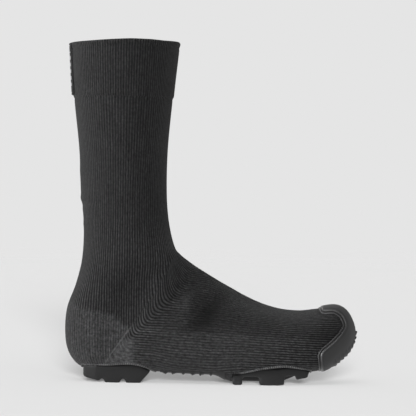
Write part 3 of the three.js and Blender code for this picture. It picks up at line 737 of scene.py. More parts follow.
def rounded(loop):
    """Points of a closed loop, each moved halfway to the middle of its neighbours."""
    return (np.roll(loop, 1, axis=0) + 2 * loop + np.roll(loop, -1, axis=0)) / 4


def tape_bead(name, ends, arch, pressed_x):
    """A soft bead wound round with thread, along the edge of a cut-out, pressed flat behind pressed_x."""
    points, normals = cutout_loop(ends, arch)
    closed = np.vstack((points, points[:1]))
    run = run_along(closed)
    count = int(run[-1] / BEAD_STEP)
    goals = np.linspace(0, run[-1], count, endpoint=False)
    path = spaced(closed, goals)
    turned = np.vstack((normals, normals[:1]))
    outward = np.column_stack([np.interp(goals, run, turned[:, k]) for k in range(3)])
    for _ in range(BEAD_ROUNDS):
        path = rounded(path)
        outward = rounded(outward)
    outward = unit(outward)
    forward = unit(np.roll(path, -1, axis=0) - np.roll(path, 1, axis=0))
    across = unit(np.cross(forward, outward))
    angles = np.linspace(0, 2 * math.pi, BEAD_POINTS, endpoint=False)
    threads = THREAD_DEPTH * np.cos(2 * math.pi * goals / STITCH_PITCH)
    pressed = smooth_step(pressed_x + 3.0, pressed_x - 2.0, path[:, 0])
    wide = TAPE_WIDTH / 2 + threads
    high = BEAD_HEIGHT + threads - BEAD_PRESSED * pressed
    grid = (
        path[:, None]
        + across[:, None] * (wide[:, None] * np.cos(angles))[..., None]
        + outward[:, None] * (high[:, None] * np.sin(angles))[..., None]
    )
    faces = [tuple(k % (count * BEAD_POINTS) for k in f) for f in rows_of_faces(count + 1, BEAD_POINTS, True)]
    mesh = mesh_from(name, grid.reshape(-1, 3), faces)
    write_attribute(mesh, "run", np.repeat(goals, BEAD_POINTS))
    write_attribute(mesh, "turn", np.tile(angles, count))
    piece = link(name, mesh)
    shade_smooth(mesh, 80)
    return piece


heel_tape = tape_bead("heel_cutout_binding", HEEL_CUTOUT, HEEL_ARCH, -100.0)
forefoot_tape = tape_bead("forefoot_cutout_binding", FOREFOOT_CUTOUT, FOREFOOT_ARCH, 122.0)


# The grip panel under the arch


PANEL_THICKNESS = 0.8
PANEL_RIB_PITCH = 9.3
PANEL_RIB_HEIGHT = 1.8
PANEL_TEETH_END = 99.0
PANEL_SEAT = 0.4
PANEL_COLUMNS = 90
PANEL_STEP = 0.45
PANEL_RISE = 26
# Behind and ahead of a tooth's crest, its slopes, as shares of the pitch
PANEL_CREST = -0.08
PANEL_SLOPES = (0.24, 0.34)


def panel_tooth(x, first_x):
    """Height of the panel's uneven, worn teeth along the shoe, from 0 to about 1."""
    phase = (x + 0.9 * math.sin(0.45 * x) - first_x) / PANEL_RIB_PITCH
    off = phase - math.floor(phase + 0.5) - PANEL_CREST
    behind, ahead = PANEL_SLOPES
    tooth = max(0.0, 1 - abs(off) / (behind if off < 0 else ahead))
    worn = 0.85 + 0.3 * math.sin(1.9 * x) * math.sin(0.31 * x)
    return tooth * worn * smooth_step(PANEL_TEETH_END + 2.0, PANEL_TEETH_END - 2.0, x)


def arch_grip():
    rear = along_foot(HEEL_CUTOUT[1]) + TAPE_WIDTH + PANEL_MARGIN
    front = along_foot(FOREFOOT_CUTOUT[0]) - TAPE_WIDTH - PANEL_MARGIN
    xs = np.linspace(rear, front, int((front - rear + 0.01) / PANEL_STEP) + 1)
    top = []
    bottom = []
    count = math.floor((front - rear) / PANEL_RIB_PITCH)
    first_x = (rear + front - (count - 1) * PANEL_RIB_PITCH) / 2
    share = np.linspace(-1, 1, PANEL_COLUMNS)
    from_z = PANEL_TOP + PANEL_RISE
    for x in xs:
        ends = [on_skin((x, 0, PANEL_TOP), (0, side, 0))[0] for side in (-1, 1)]
        angles = np.linspace(*[math.atan2(end[1], from_z - end[2]) for end in ends], PANEL_COLUMNS)
        points, normals = under_fan(x, from_z, angles)
        edge = smooth_step(1.0, 0.95, np.abs(share)) * smooth_step(0, 1.0, min(x - rear, front - x) + 0.2)
        out = (PANEL_THICKNESS + PANEL_RIB_HEIGHT * panel_tooth(x, first_x)) * edge
        top.append(points + normals * out[:, None])
        bottom.append(points - normals * PANEL_SEAT)
    piece = link("arch_grip_panel", slab_mesh("arch_grip_panel", np.array(top), np.array(bottom)))
    shade_smooth(piece.data, 55)
    return piece


grip = arch_grip()


# The woven tab on the back of the cuff


def shaft_band(heights, arcs):
    """Points of the shaft's own surface at heights and at distances round from its back."""
    places = place_at_height(heights)
    grid = np.zeros((len(heights), len(arcs), 3))
    for i, section in enumerate(sections(places)):
        for side in (-1, 1):
            line = half_outline(section, side)[::-1]
            chosen = arcs * side >= 0
            grid[i, chosen] = spaced(line, np.abs(arcs[chosen]))
        grid[i, :, 2] = heights[i]
    return grid


TAB_ROWS = 160
TAB_COLUMNS = 81
TAB_CORNER = 2.5
TAB_HEIGHT_OUT = 1.5
TAB_SEAT = 0.4
TAB_THREAD_PITCH = 1.8


def rear_tab():
    top = SHAFT_HEIGHT - TAB_BELOW_RIM
    heights = np.linspace(top, top - TAB_HEIGHT, TAB_ROWS)
    arcs = np.linspace(-TAB_WIDTH / 2, TAB_WIDTH / 2, TAB_COLUMNS)
    base = shaft_band(heights, arcs)
    normals = unit(np.cross(np.gradient(base, axis=1), np.gradient(base, axis=0)))
    if normals[TAB_ROWS // 2, TAB_COLUMNS // 2, 0] > 0:
        normals = -normals
    from_side = TAB_WIDTH / 2 - np.abs(arcs)[None, :]
    from_end = np.minimum(top - heights, heights - (top - TAB_HEIGHT))[:, None]
    inset = np.hypot((TAB_CORNER - from_side).clip(0), (TAB_CORNER - from_end).clip(0))
    in_corner = (from_side < TAB_CORNER) & (from_end < TAB_CORNER)
    from_edge = np.where(in_corner, TAB_CORNER - inset, np.minimum(from_side, from_end))
    height = TAB_HEIGHT_OUT * np.sqrt(1 - (1 - from_edge.clip(0, 1)) ** 2)
    height += -0.35 * ridge(from_edge, 2.4, 0.45)
    threads = np.cos(2 * math.pi * (heights[:, None] + arcs[None, :]) / TAB_THREAD_PITCH)
    height += 0.10 * threads * ridge(from_edge, 1.2, 0.9)
    outside = base + normals * (CUFF_STEP + height)[..., None]
    inside = base + normals * (CUFF_STEP - TAB_SEAT)
    mesh = slab_mesh("woven_rear_tab", outside, inside)
    piece = link("woven_rear_tab", mesh)
    write_attribute(mesh, "from_edge", np.append(from_edge, np.zeros(from_edge.size)))
    shade_smooth(mesh, 60)
    return piece


tab = rear_tab()


# The riding sole, with its moulded edges rounded


SOLE_VOXEL = 0.00125
SOLE_SMOOTHING = 6


def rounded_sole():
    """The source's outsole, remeshed in fine cubes and smoothed."""
    piece = link("moulded_outsole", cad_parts["outsole"].data.copy())
    remesh = piece.modifiers.new("remesh", "REMESH")
    remesh.mode = "VOXEL"
    remesh.voxel_size = SOLE_VOXEL
    smooth = piece.modifiers.new("smooth", "SMOOTH")
    smooth.factor = 0.5
    smooth.iterations = SOLE_SMOOTHING
    applied(piece)
    shade_smooth(piece.data, 60)
    return piece


sole = rounded_sole()


# Materials


class Nodes:
    """A node tree under construction, with short calls for its nodes."""

    def __init__(self, tree, place="Object"):
        self.tree = tree
        self.coords = tree.nodes.new("ShaderNodeTexCoord").outputs[place]
        self.xyz = self.node("SeparateXYZ", {0: self.coords}).outputs

    def put(self, socket, value):
        if isinstance(value, bpy.types.NodeSocket):
            self.tree.links.new(value, socket)
        else:
            socket.default_value = value

    def node(self, kind, inputs, **options):
        """A new node with its options set, and its inputs given by number or name."""
        node = self.tree.nodes.new("ShaderNode" + kind)
        for option, value in options.items():
            setattr(node, option, value)
        for key, value in inputs.items():
            self.put(node.inputs[key], value)
        return node

    def math(self, operation, *values):
        return self.node("Math", dict(enumerate(values)), operation=operation).outputs[0]

    def times(self, first, *others):
        for other in others:
            first = self.math("MULTIPLY", first, other)
        return first

    def wave(self, count):
        """A cosine with one crest for each count."""
        return self.math("COSINE", self.times(count, 2 * math.pi))

    def ridge(self, value, middle, half_width):
        """A soft ridge of height 1."""
        off = self.math("DIVIDE", self.math("SUBTRACT", value, middle), half_width)
        return self.math("EXPONENT", self.times(off, off, -1.0))

    def mix(self, factor, a, b):
        return self.node("Mix", {0: factor, 2: a, 3: b}).outputs[0]

    def between(self, value, low, high, to_low=0.0, to_high=1.0, smooth=True):
        limits = {"From Min": low, "From Max": high, "To Min": to_low, "To Max": to_high}
        kind = "SMOOTHSTEP" if smooth else "LINEAR"
        return self.node("MapRange", {"Value": value, **limits}, interpolation_type=kind).outputs["Result"]

    def spread(self, noise, reach, to_low, to_high):
        """Noise within reach of its middle, made a factor."""
        return self.between(noise, 0.5 - reach, 0.5 + reach, to_low, to_high, False)

    def noise(self, scale, detail=3.0, vector=None):
        place = self.coords if vector is None else vector
        return self.node("TexNoise", {"Scale": scale, "Detail": detail, "Vector": place}).outputs["Fac"]

    def stretched(self, count, along, apart):
        """Noise on a surface that is counted in ribs one way."""
        return self.noise(1.0, 2.0, self.node("CombineXYZ", {0: count, 1: along, 2: apart}).outputs[0])


class Graph(Nodes):
    """The node tree of a new material."""

    def __init__(self, name, color, roughness, **sockets):
        self.material = bpy.data.materials.new(name)
        self.material.use_nodes = True
        super().__init__(self.material.node_tree)
        self.color = (*color, 1.0)
        self.shader = self.tree.nodes["Principled BSDF"]
        self.shader.inputs["Base Color"].default_value = self.color
        self.shader.inputs["Roughness"].default_value = roughness
        for socket, value in sockets.items():
            self.shader.inputs[socket.replace("_", " ")].default_value = value

    def attribute(self, name):
        return self.node("Attribute", {}, attribute_name=name).outputs["Fac"]

    def blend(self, factor, a, b, how="MIX"):
        inputs = {0: factor, 6: a, 7: b}
        return self.node("Mix", inputs, data_type="RGBA", blend_type=how).outputs[2]

    def shaded(self, value, color=None):
        """The material's colour, or another, made darker or lighter by a value."""
        grey = self.node("CombineColor", {0: value, 1: value, 2: value}).outputs[0]
        return self.blend(1.0, self.color if color is None else color, grey, "MULTIPLY")

    def bump(self, height, distance, strength=1.0, under=None):
        inputs = {"Height": height, "Distance": distance, "Strength": strength}
        if under is not None:
            inputs["Normal"] = under
        return self.node("Bump", inputs).outputs[0]

    def finish(self, color, roughness=None, normal=None):
        for socket, value in (("Base Color", color), ("Roughness", roughness), ("Normal", normal)):
            if value is not None:
                self.put(self.shader.inputs[socket], value)
        return self.material


# Ribs and shades of the knit


SHAFT_RIBS = 113
CUFF_RIBS = 138

# The line where the shaft's upright ribs end, in side view, from the instep down to the heel tape
RIB_TURN = (
    (63.0, 136.0), (57.0, 124.5), (45.0, 101.0), (30.0, 76.0), (16.5, 56.0), (2.0, 36.0), (-11.0, 17.0),
)
# Where the lighter knit of the heel begins, from the back to the rib turn
HEEL_LINE = ((-60.0, 86.0), (-47.1, 81.5), (-21.5, 73.7), (-1.0, 68.9), (12.4, 57.5), (16.5, 55.0))
FOOT_RIB_PITCH = 2.89
# The ribs' pitch along the foot, and how many lie between the reference rib and the foot's crest
PITCH_X = (38.0, 62.0, 92.0, 104.0, 128.0, 142.0, 185.0, 210.0)
PITCHES = (2.5, 2.82, 2.89, 2.84, 2.54, 2.5, 2.46, 2.36)
RIBS_TO_CREST = 29.0
MORE_TO_CREST = 11.0
BAND_SLOPE = 1.7
RIB_LINES_TOP = 150.0
# Height, fall and start of the rib that runs along the middle of the foot's side, in side view
REFERENCE_Z = 53.0
REFERENCE_FALL = 0.05
REFERENCE_X = 16.0
# Upright sections that the ribs are counted on, and the points of each that can meet the reference rib
SECTION_X = (-46, 238, 96)
SECTION_ANGLES = 91
SIDE_POINTS = slice(12, 80)


def round_sections():
    """Distance round each upright section from the reference rib, by the angle about its middle."""
    xs = np.linspace(*SECTION_X)
    angles = np.linspace(0.0, math.pi, SECTION_ANGLES)
    centres = np.zeros((len(xs), 2))
    tables = {side: np.zeros((len(xs), len(angles))) for side in (-1, 1)}
    for i, x in enumerate(xs):
        centre_y = max(x - 180, 0) * 0.2
        inside_z = 32.0 + 0.14 * max(x - 120, 0)
        low = on_skin((x, centre_y, inside_z), (0, 0, -1))[0][2]
        up = SKIN.ray_cast(Vector((x, centre_y, inside_z)), Vector((0, 0, 1)))[0]
        high = RIB_LINES_TOP if up is None else min(up.z, RIB_LINES_TOP)
        centre_z = (low + high) / 2
        centres[i] = (centre_y, centre_z)
        start = Vector((x, centre_y, centre_z))
        reference_z = REFERENCE_Z - REFERENCE_FALL * (x - REFERENCE_X)
        for side, table in tables.items():
            points = []
            for angle in angles:
                direction = Vector((0, side * max(math.sin(angle), 1e-6), math.cos(angle)))
                hit = SKIN.ray_cast(start, direction)[0]
                if hit is None or hit.z > RIB_LINES_TOP:
                    hit = start + direction * ((RIB_LINES_TOP - centre_z) / direction.z)
                points.append(np.array(hit))
            points = np.array(points)
            run = run_along(points)
            table[i] = np.interp(-reference_z, -points[SIDE_POINTS, 2], run[SIDE_POINTS]) - run
    return xs, angles, centres, tables


def lookup(table, xs, ys, x, y):
    """Values between the points of an even table."""
    i = ((x - xs[0]) / (xs[1] - xs[0])).clip(0, len(xs) - 1.001)
    j = ((y - ys[0]) / (ys[1] - ys[0])).clip(0, len(ys) - 1.001)
    i0 = i.astype(int)
    j0 = j.astype(int)
    fi = i - i0
    fj = j - j0
    low = table[i0, j0] * (1 - fj) + table[i0, j0 + 1] * fj
    high = table[i0 + 1, j0] * (1 - fj) + table[i0 + 1, j0 + 1] * fj
    return low * (1 - fi) + high * fi


def foot_ribs(x, y, z, turn):
    """Counts of the lengthwise ribs of the foot, which bend up along the rib turn."""
    xs, angles, centres, tables = round_sections()
    side_y = y - np.interp(x, xs, centres[:, 0])
    angle = np.arctan2(np.abs(side_y), z - np.interp(x, xs, centres[:, 1]))
    found = []
    pitch = np.interp(x, PITCH_X, PITCHES)
    crest = RIBS_TO_CREST + MORE_TO_CREST * smooth_step(100.0, 58.0, x)
    for side in (-1, 1):
        above = lookup(tables[side], xs, angles, x, angle)
        total = np.interp(x, xs, tables[side][:, 0])
        found.append(above / pitch - (total / pitch - crest) * (above / total).clip(0, 1) ** 2)
    blend = smooth_step(-2.0, 2.0, side_y)
    count = found[0] * (1 - blend) + found[1] * blend
    band = 9.0 + 21.0 * smooth_step(40.0, 118.0, z)
    bend = 0.5 * BAND_SLOPE * band * (1 - np.maximum(turn, 0) / band).clip(0, 1) ** 2
    return count - bend / FOOT_RIB_PITCH


# Lighter and darker places painted on the outer side: painted shade in the hollow ahead of the dial and along
# its tail, a painted highlight on the dial's lit edge, then other lighter and darker patches; middle x, z,
# reach, across, turn in degrees, change
OUTER_SHADES = (
    (97.0, 71.0, 21.0, 9.0, 58.0, -0.9),
    (80.0, 58.5, 14.0, 6.5, 34.0, -0.42),
    (71.5, 81.5, 7.0, 3.4, 74.0, 0.50),
    (8.0, 92.0, 26.0, 9.0, 66.0, -0.12),
    (36.0, 63.0, 18.0, 10.0, 50.0, 0.16),
    (34.0, 86.0, 30.0, 10.0, 60.0, 0.44),
    (52.0, 132.0, 34.0, 15.0, 66.0, 0.3),
    (118.0, 65.0, 27.0, 8.5, -6.0, -0.28),
    (20.0, 56.0, 22.0, 6.0, -6.0, 0.32),
    (32.0, 134.0, 38.0, 26.0, 90.0, 0.24),
    (4.0, 255.0, 110.0, 26.0, 90.0, 0.14),
    (186.0, 42.0, 20.0, 26.0, -4.0, 0.07),
)


def shades(x, y, z):
    """How much lighter or darker the knit is than its own tone, with painted shade and highlights on the
    outer side, painted shadow beside the cap and painted shade on the shaft's front.
    """
    shade = np.ones(x.shape)
    on_side = smooth_step(4.0, -12.0, y)
    for spot in OUTER_SHADES:
        shade *= 1 + on_side * soft_spot(x, z, spot)
    # Painted shadow on the knit beside the cap's flange
    from_cap = -side_distance(CAP_LINE, x, z) - CAP_FLANGE_WIDTH
    shade *= 1 - 0.5 * smooth_step(3.0, 0.0, from_cap)
    # Painted shade on the front of the shaft, which faces away from the key light
    shade *= 1 - 0.24 * smooth_step(30.0, 58.0, x) * smooth_step(140.0, 160.0, z)
    return shade


def rib_attributes(mesh):
    """Shades, counts of the foot's ribs, and distances from the rib turn and the heel's lighter knit."""
    x, y, z = points_of(mesh).T
    write_attribute(mesh, "shade", shades(x, y, z))
    turn = side_distance(smooth_line(RIB_TURN), x, z)
    heel = side_distance(smooth_line(HEEL_LINE), x, z)
    write_attribute(mesh, "foot_rib", foot_ribs(x, y, z, turn))
    write_attribute(mesh, "turn", turn)
    write_attribute(mesh, "heel", np.minimum(-heel, 5.0 - turn))


rib_attributes(upper.data)


KNIT_TONE = 0.034
GORE_WIDTH = 0.9
# The lighter knit under the foot's side: its edge at the ankle and half its softness, in metres,
# and how it falls to the toe
LIGHT_LINE = 0.0578
LIGHT_LINE_SOFT = 0.0013
LIGHT_LINE_FALL = 0.056


def knit_material():
    """Ribs up the shaft and along the foot, with grain, loops, lighter and darker places, and painted shade
    in the rib valleys.
    """
    color = (KNIT_TONE, KNIT_TONE, KNIT_TONE * 1.02)
    cloth = {"Sheen_Weight": 0.12, "Sheen_Roughness": 0.5, "Specular_IOR_Level": 0.25}
    g = Graph("black_ribbed_knit", color, 0.9, **cloth)
    x, y, z = g.xyz
    side = g.math("DIVIDE", g.math("ABSOLUTE", y), ANKLE_WIDTH / 2 * MM)
    back = g.math("DIVIDE", g.math("SUBTRACT", SHAFT_AXIS_X * MM, x), ANKLE_DEPTH / 2 * MM)
    angle = g.math("ARCTAN2", side, back)
    shaft, cuff = [g.times(angle, ribs / (2 * math.pi)) for ribs in (SHAFT_RIBS, CUFF_RIBS)]
    upright = g.mix(g.math("GREATER_THAN", z, HEM_HEIGHT * MM), shaft, cuff)
    turn, foot, heel = [g.attribute(name) for name in ("turn", "foot_rib", "heel")]
    foot_side = g.between(turn, -1.6, 1.6)
    on_foot = g.math("GREATER_THAN", turn, 0.0)
    count = g.mix(on_foot, upright, foot)
    along = g.mix(on_foot, z, x)

    # Ribs, the plain knit at the heel, and the line where the ribs of shaft and foot meet
    shaft_wave, foot_wave = [g.math("MULTIPLY_ADD", g.wave(each), 0.5, 0.5) for each in (upright, foot)]
    plain = g.times(foot_side, g.between(x, 0.027, 0.013), g.between(z, 0.050, 0.040))
    ribs = g.mix(plain, g.mix(foot_side, shaft_wave, foot_wave), 0.75)
    gore = g.times(g.ridge(turn, 0.0, GORE_WIDTH), g.between(z, 0.062, 0.054))

    # Stitches: grain and runs that follow the ribs, slanted loops one millimetre apart, fuzz and specks
    grain = g.stretched(g.times(count, 1.3), g.times(along, 260.0), 0.0)
    runs = g.stretched(g.times(count, 0.9), g.times(along, 36.0), 7.0)
    slant = g.times(g.math("ABSOLUTE", g.math("SUBTRACT", g.math("FRACT", count), 0.5)), 1.6)
    loops = g.wave(g.math("MULTIPLY_ADD", along, 1000.0, slant))
    fuzz, specks = [g.noise(scale, 2.0) for scale in (2600.0, 520.0)]
    patches = g.noise(24.0, 4.0)

    # How deep the valleys between ribs look: painted shade in the valleys and lighter crests
    in_heel = g.times(g.between(heel, -2.0, 5.0), g.math("SUBTRACT", 1.0, foot_side))
    on_shaft = g.math("MULTIPLY_ADD", g.between(z, 0.19, 0.12), 0.26, 0.5)
    on_side = g.mix(g.between(turn, 30.0, 16.0), g.between(x, 0.12, 0.18, 0.42, 0.88), 0.8)
    depth = g.mix(on_foot, g.mix(in_heel, on_shaft, 0.22), on_side)

    # Lighter knit under the foot's side and below the ankle
    from_line = g.math("MULTIPLY_ADD", x, LIGHT_LINE_FALL, z)
    below_line = g.between(from_line, LIGHT_LINE + LIGHT_LINE_SOFT, LIGHT_LINE - LIGHT_LINE_SOFT)
    below_line = g.times(below_line, on_foot, g.between(x, 0.15, 0.20, 0.53, 0.35))
    over_line = g.times(g.between(z, 0.098, 0.060), on_foot, g.between(x, 0.060, 0.088, 0.22, 0.0))

    # The knit's tone carries the painted shade in the rib valleys and the painted shade and highlights of the
    # shade attribute
    tone = g.times(
        g.mix(ribs, g.math("SUBTRACT", 1.0, depth), g.math("ADD", 1.0, depth)),
        g.mix(on_foot, g.spread(grain, 0.25, 0.55, 1.45), g.spread(grain, 0.25, 0.4, 1.6)),
        g.mix(in_heel, g.spread(specks, 0.25, 0.72, 1.28), g.spread(specks, 0.2, 0.6, 1.4)),
        g.spread(runs, 0.25, 0.78, 1.22),
        g.spread(patches, 0.2, 0.92, 1.08),
        g.between(loops, -1.0, 1.0, 0.93, 1.07, False),
        g.mix(in_heel, 1.0, g.between(x, -0.052, -0.020, 1.38, 2.0)),
        g.attribute("shade"),
        g.between(plain, 0.0, 1.0, 1.0, 1.36),
        g.math("ADD", g.math("MAXIMUM", below_line, over_line), 1.0),
    )
    tone = g.math("MULTIPLY_ADD", gore, g.spread(grain, 0.2, 0.8, 2.6), tone)
    height = ribs
    for part, share in ((loops, 0.12), (fuzz, 0.25), (gore, 1.5)):
        height = g.math("MULTIPLY_ADD", part, share, height)
    return g.finish(g.shaded(tone), None, g.bump(height, 0.0006, 0.9))


RUBBER_WEAR = 0.12
# Where the tone of the sole's front part takes over from the heel's, in metres
RUBBER_AHEAD = (0.070, 0.100)


def rubber_material(name, tone, roughness, ahead=1.0):
    """Worn rubber with a fine grain, lighter in front by a factor."""
    g = Graph(name, (tone, tone, tone * 1.02), roughness, Specular_IOR_Level=0.45)
    fine = g.noise(1400.0, 4.0)
    broad = g.noise(38.0, 4.0)
    worn = g.spread(broad, 0.2, 1 - RUBBER_WEAR, 1 + RUBBER_WEAR)
    shade = g.times(worn, g.between(g.xyz[0], *RUBBER_AHEAD, 1.0, ahead))
    gloss = g.spread(broad, 0.2, roughness - 0.06, roughness + 0.08)
    return g.finish(g.shaded(shade), gloss, g.bump(fine, 0.00005, 0.6))


# Raised and sunk lines along the edge of the cap: distance inside the body, half width and height
# in millimetres, and how much lighter it is there, a painted highlight on the raised lines and painted shade
# in the sunk ones
CAP_LINES = (
    (-2.0, 0.55, 0.32, 0.6), (-0.6, 0.6, -0.45, -0.75), (1.0, 0.6, 0.45, 0.9), (2.6, 0.8, -0.2, -0.2),
)

# Painted highlights along the welt, where it would catch the light: x, z and reach in millimetres, and how
# much lighter
WELT_HIGHLIGHTS = (
    (209.5, 30.5, 6.0, 3.4), (230.5, 66.0, 6.0, 1.5), (213.0, 73.0, 7.0, 1.5), (219.0, 42.0, 6.0, 1.2),
)


def cap_material():
    g = Graph("cap_rubber", (0.072, 0.072, 0.073), 0.42, Specular_IOR_Level=0.4)
    x, _, z = g.xyz
    inside = g.attribute("inside")
    fine = g.noise(1500.0, 3.0)
    broad = g.noise(45.0, 4.0)
    shade = g.spread(broad, 0.2, 0.92, 1.08)
    # Painted highlights along the welt
    highlight = 1.0
    for at_x, at_z, reach, lightness in WELT_HIGHLIGHTS:
        near = g.times(g.ridge(x, at_x * MM, reach * MM), g.ridge(z, at_z * MM, reach * MM))
        highlight = g.math("MULTIPLY_ADD", near, lightness, highlight)
    lines = 0.0
    for middle, half_width, height, lightness in CAP_LINES:
        line = g.ridge(inside, middle, half_width)
        lines = g.math("MULTIPLY_ADD", line, height, lines)
        if lightness > 0:
            line = g.times(line, highlight)
        # Painted highlight on the raised lines and painted shade in the sunk ones
        shade = g.math("MULTIPLY_ADD", line, lightness, shade)
    gloss = g.mix(g.between(inside, 2.4, 1.6), g.spread(broad, 0.2, 0.46, 0.58), 0.22)
    # Painted shade: the cap darker towards its low edge, near the floor
    shade = g.times(shade, g.between(z, 0.012, 0.046, 0.8, 1.0))
    return g.finish(g.shaded(shade), gloss, g.bump(fine, 0.00006, 0.5, g.bump(lines, 0.001)))


def binding_material():
    """Slanted threads, with painted shade where the knit is drawn over the first forefoot lug."""
    g = Graph("overlock_binding", (0.16, 0.16, 0.162), 0.85, Sheen_Weight=0.1, Sheen_Roughness=0.5)
    x = g.xyz[0]
    around = g.times(g.math("SINE", g.attribute("turn")), 0.25)
    thread = g.wave(g.math("ADD", g.math("DIVIDE", g.attribute("run"), STITCH_PITCH), around))
    fine = g.noise(1800.0, 2.0)
    worn = g.noise(150.0, 3.0)
    # Painted shade on the binding where it runs under the first forefoot lug
    shade_under_lug = g.times(g.between(x, 0.100, 0.106), g.between(x, 0.130, 0.123))
    shade = g.times(
        g.between(thread, -1, 1, 0.55, 1.3, False),
        g.spread(fine, 0.2, 0.8, 1.2),
        g.spread(worn, 0.2, 0.65, 1.35),
        g.between(shade_under_lug, 0.0, 1.0, 1.0, 0.22, False),
    )
    height = g.math("MULTIPLY_ADD", fine, 0.3, thread)
    return g.finish(g.shaded(shade), None, g.bump(height, 0.0003, 0.7))


# The tab's weave, its light bars, and the heights between which they lie, in metres
TAB_WEAVE = 0.0009
TAB_BARS = 0.0068
TAB_FIELD = (0.2995, 0.3345)
TAB_LIGHT = (0.42, 0.42, 0.43, 1.0)


def tab_material():
    g = Graph("woven_tab", (0.012, 0.012, 0.013), 0.6)
    _, y, z = g.xyz

    def threads(value, pitch):
        return g.math("SINE", g.times(value, 2 * math.pi / pitch))

    weave = g.times(threads(z, TAB_WEAVE), threads(y, TAB_WEAVE))
    low, high = TAB_FIELD
    field = g.times(
        g.between(z, low, low + 0.0005),
        g.between(z, high, high - 0.0005),
        g.between(g.attribute("from_edge"), 3.4, 3.7),
        g.between(threads(z, TAB_BARS), -0.25, -0.1),
    )
    color = g.shaded(g.between(weave, -1, 1, 0.8, 1.15, False), g.blend(field, g.color, TAB_LIGHT))
    return g.finish(color, g.mix(field, 0.65, 0.35), g.bump(weave, 0.00012, 0.5))


def insole_material():
    g = Graph("insole_cloth", (0.022, 0.022, 0.024), 0.95)
    weave = g.times(*[g.math("SINE", g.times(g.xyz[k], 4200.0)) for k in (0, 1)])
    return g.finish(g.shaded(g.between(weave, -1, 1, 0.8, 1.2, False)), None, g.bump(weave, 0.0002, 0.5))


def dress(piece, material, node):
    piece.data.materials.clear()
    piece.data.materials.append(material)
    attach(piece, "root")
    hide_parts(node)


edge_binding = binding_material()
dress(upper, knit_material(), "upper")
dress(cap, cap_material(), "toe_cap")
dress(heel_tape, edge_binding, "heel_cutout_tape")
dress(forefoot_tape, edge_binding, "forefoot_cutout_tape")
dress(grip, rubber_material("grip_rubber", 0.034, 0.6), "arch_grip")
dress(tab, tab_material(), "rear_tab")
dress(sole, rubber_material("tread_rubber", 0.0268, 0.5, ahead=1.3), "outsole")
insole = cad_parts["insole"]
insole.data.materials[0] = insole_material()


# Stage, camera and light


# The camera looks across the shoe, at the photo's scale
CAMERA_X = 0.0923727
CAMERA_Z = 0.1773
CAMERA_DISTANCE = 2.7
CAMERA_ROLL = math.radians(0.8)
METRES_PER_PIXEL = 0.00102
IMAGE_PIXELS = 416
SENSOR_MM = 36.0
BACKDROP_RADIUS = 28.0
FLOOR_HALF = 10.0
WHITE = (1.0, 1.0, 1.0, 1.0)
BACKDROP = 0.7835
AMBIENT = 0.34
FLOOR_TONE = 0.5
FLOOR_GLOW = 0.14
# Distances in metres over which the floor fades into the backdrop
FLOOR_FADE = (2.2, 9.0)
# Soft lights on the floor alone: azimuth, elevation, softness and share of the light on the open floor
FLOOR_LIGHTS = ((271, 9, 12, 0.8), (270, 50, 50, 0.2))
OPEN_FLOOR = 0.7705
KEY_STRENGTH = 1.9
KEY_AZIMUTH = 200
KEY_ELEVATION = 30
KEY_SOFTNESS = 35


def direction_to(azimuth, elevation):
    azimuth = math.radians(azimuth)
    elevation = math.radians(elevation)
    flat = math.cos(elevation)
    return Vector((flat * math.cos(azimuth), flat * math.sin(azimuth), math.sin(elevation)))


def hide_from(piece, *rays):
    for ray in rays:
        setattr(piece, "visible_" + ray, False)


def make_floor():
    corners = [(x * FLOOR_HALF, y * FLOOR_HALF, 0) for x, y in ((-1, -1), (1, -1), (1, 1), (-1, 1))]
    mesh = bpy.data.meshes.new("floor")
    mesh.from_pydata(corners, [], [(0, 1, 2, 3)])
    floor = link("floor", mesh)
    glow = {"Emission_Color": WHITE, "Emission_Strength": FLOOR_GLOW}
    g = Graph("pale_floor", (FLOOR_TONE,) * 3, 1.0, Specular_IOR_Level=0.0, **glow)
    x, y, _ = g.xyz
    from_middle = g.math("SQRT", g.math("MULTIPLY_ADD", x, x, g.times(y, y)))
    g.put(g.shader.inputs["Alpha"], g.between(from_middle, *FLOOR_FADE, 1.0, 0.0))
    speck = g.spread(g.noise(600.0, 2.0), 0.2, 0.997, 1.003)
    mesh.materials.append(g.finish(g.shaded(speck)))
    hide_from(floor, "diffuse", "glossy")
    return floor


def make_backdrop():
    """A pale dome that only the camera sees, so that the light on the shoe is set apart from it."""
    mesh = bpy.data.meshes.new("backdrop")
    work = bmesh.new()
    bmesh.ops.create_icosphere(work, subdivisions=4, radius=BACKDROP_RADIUS)
    work.to_mesh(mesh)
    work.free()
    dome = link("backdrop", mesh)
    glow = {"Emission_Color": (BACKDROP, BACKDROP, BACKDROP, 1.0), "Emission_Strength": 1.0}
    g = Graph("pale_backdrop", (0.0, 0.0, 0.0), 0.5, Specular_IOR_Level=0.0, **glow)
    mesh.materials.append(g.material)
    hide_from(dome, "diffuse", "glossy", "transmission", "shadow")


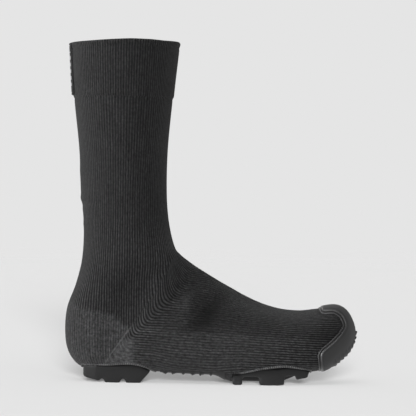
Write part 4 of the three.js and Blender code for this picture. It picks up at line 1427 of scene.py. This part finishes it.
def make_world():
    """Soft light all round, a little stronger from the heel's side and from below."""
    world = bpy.data.worlds.new("studio")
    world.use_nodes = True
    g = Nodes(world.node_tree, "Generated")
    along = g.between(g.xyz[0], -1.0, 1.0, AMBIENT * 1.25, AMBIENT * 0.9, False)
    below = g.between(g.xyz[2], -0.5, 0.2, 1.45, 1.0, False)
    background = g.tree.nodes["Background"]
    background.inputs["Color"].default_value = WHITE
    g.put(background.inputs["Strength"], g.times(along, below))
    bpy.context.scene.world = world


def make_sun(name, strength, azimuth, elevation, softness, lit):
    """A soft far light that falls on the given objects alone."""
    data = bpy.data.lights.new(name, "SUN")
    data.energy = strength
    data.angle = math.radians(softness)
    light = link(name, data)
    light.rotation_euler = direction_to(azimuth, elevation).to_track_quat("Z", "Y").to_euler()
    receivers = bpy.data.collections.new(name + "_receivers")
    for piece in lit:
        receivers.objects.link(piece)
    light.light_linking.receiver_collection = receivers


def make_camera():
    data = bpy.data.cameras.new("camera")
    data.sensor_width = SENSOR_MM
    data.sensor_fit = "HORIZONTAL"
    data.lens = SENSOR_MM * CAMERA_DISTANCE / (IMAGE_PIXELS * METRES_PER_PIXEL)
    data.clip_end = 100.0
    camera = link("camera", data)
    camera.location = (CAMERA_X, -CAMERA_DISTANCE, CAMERA_Z)
    camera.rotation_euler = (math.pi / 2, -CAMERA_ROLL, 0.0)
    bpy.context.scene.camera = camera


floor = make_floor()
make_backdrop()
make_world()
pieces = [upper, cap, heel_tape, forefoot_tape, grip, tab, sole, insole]
make_sun("key", KEY_STRENGTH, KEY_AZIMUTH, KEY_ELEVATION, KEY_SOFTNESS, pieces)
lit_by_sun = OPEN_FLOOR - FLOOR_GLOW - FLOOR_TONE * AMBIENT
for azimuth, elevation, softness, share in FLOOR_LIGHTS:
    strength = share * lit_by_sun * math.pi / (FLOOR_TONE * math.sin(math.radians(elevation)))
    make_sun("floor_light", strength, azimuth, elevation, softness, [floor])
make_camera()
bpy.context.scene.view_settings.view_transform = "Standard"
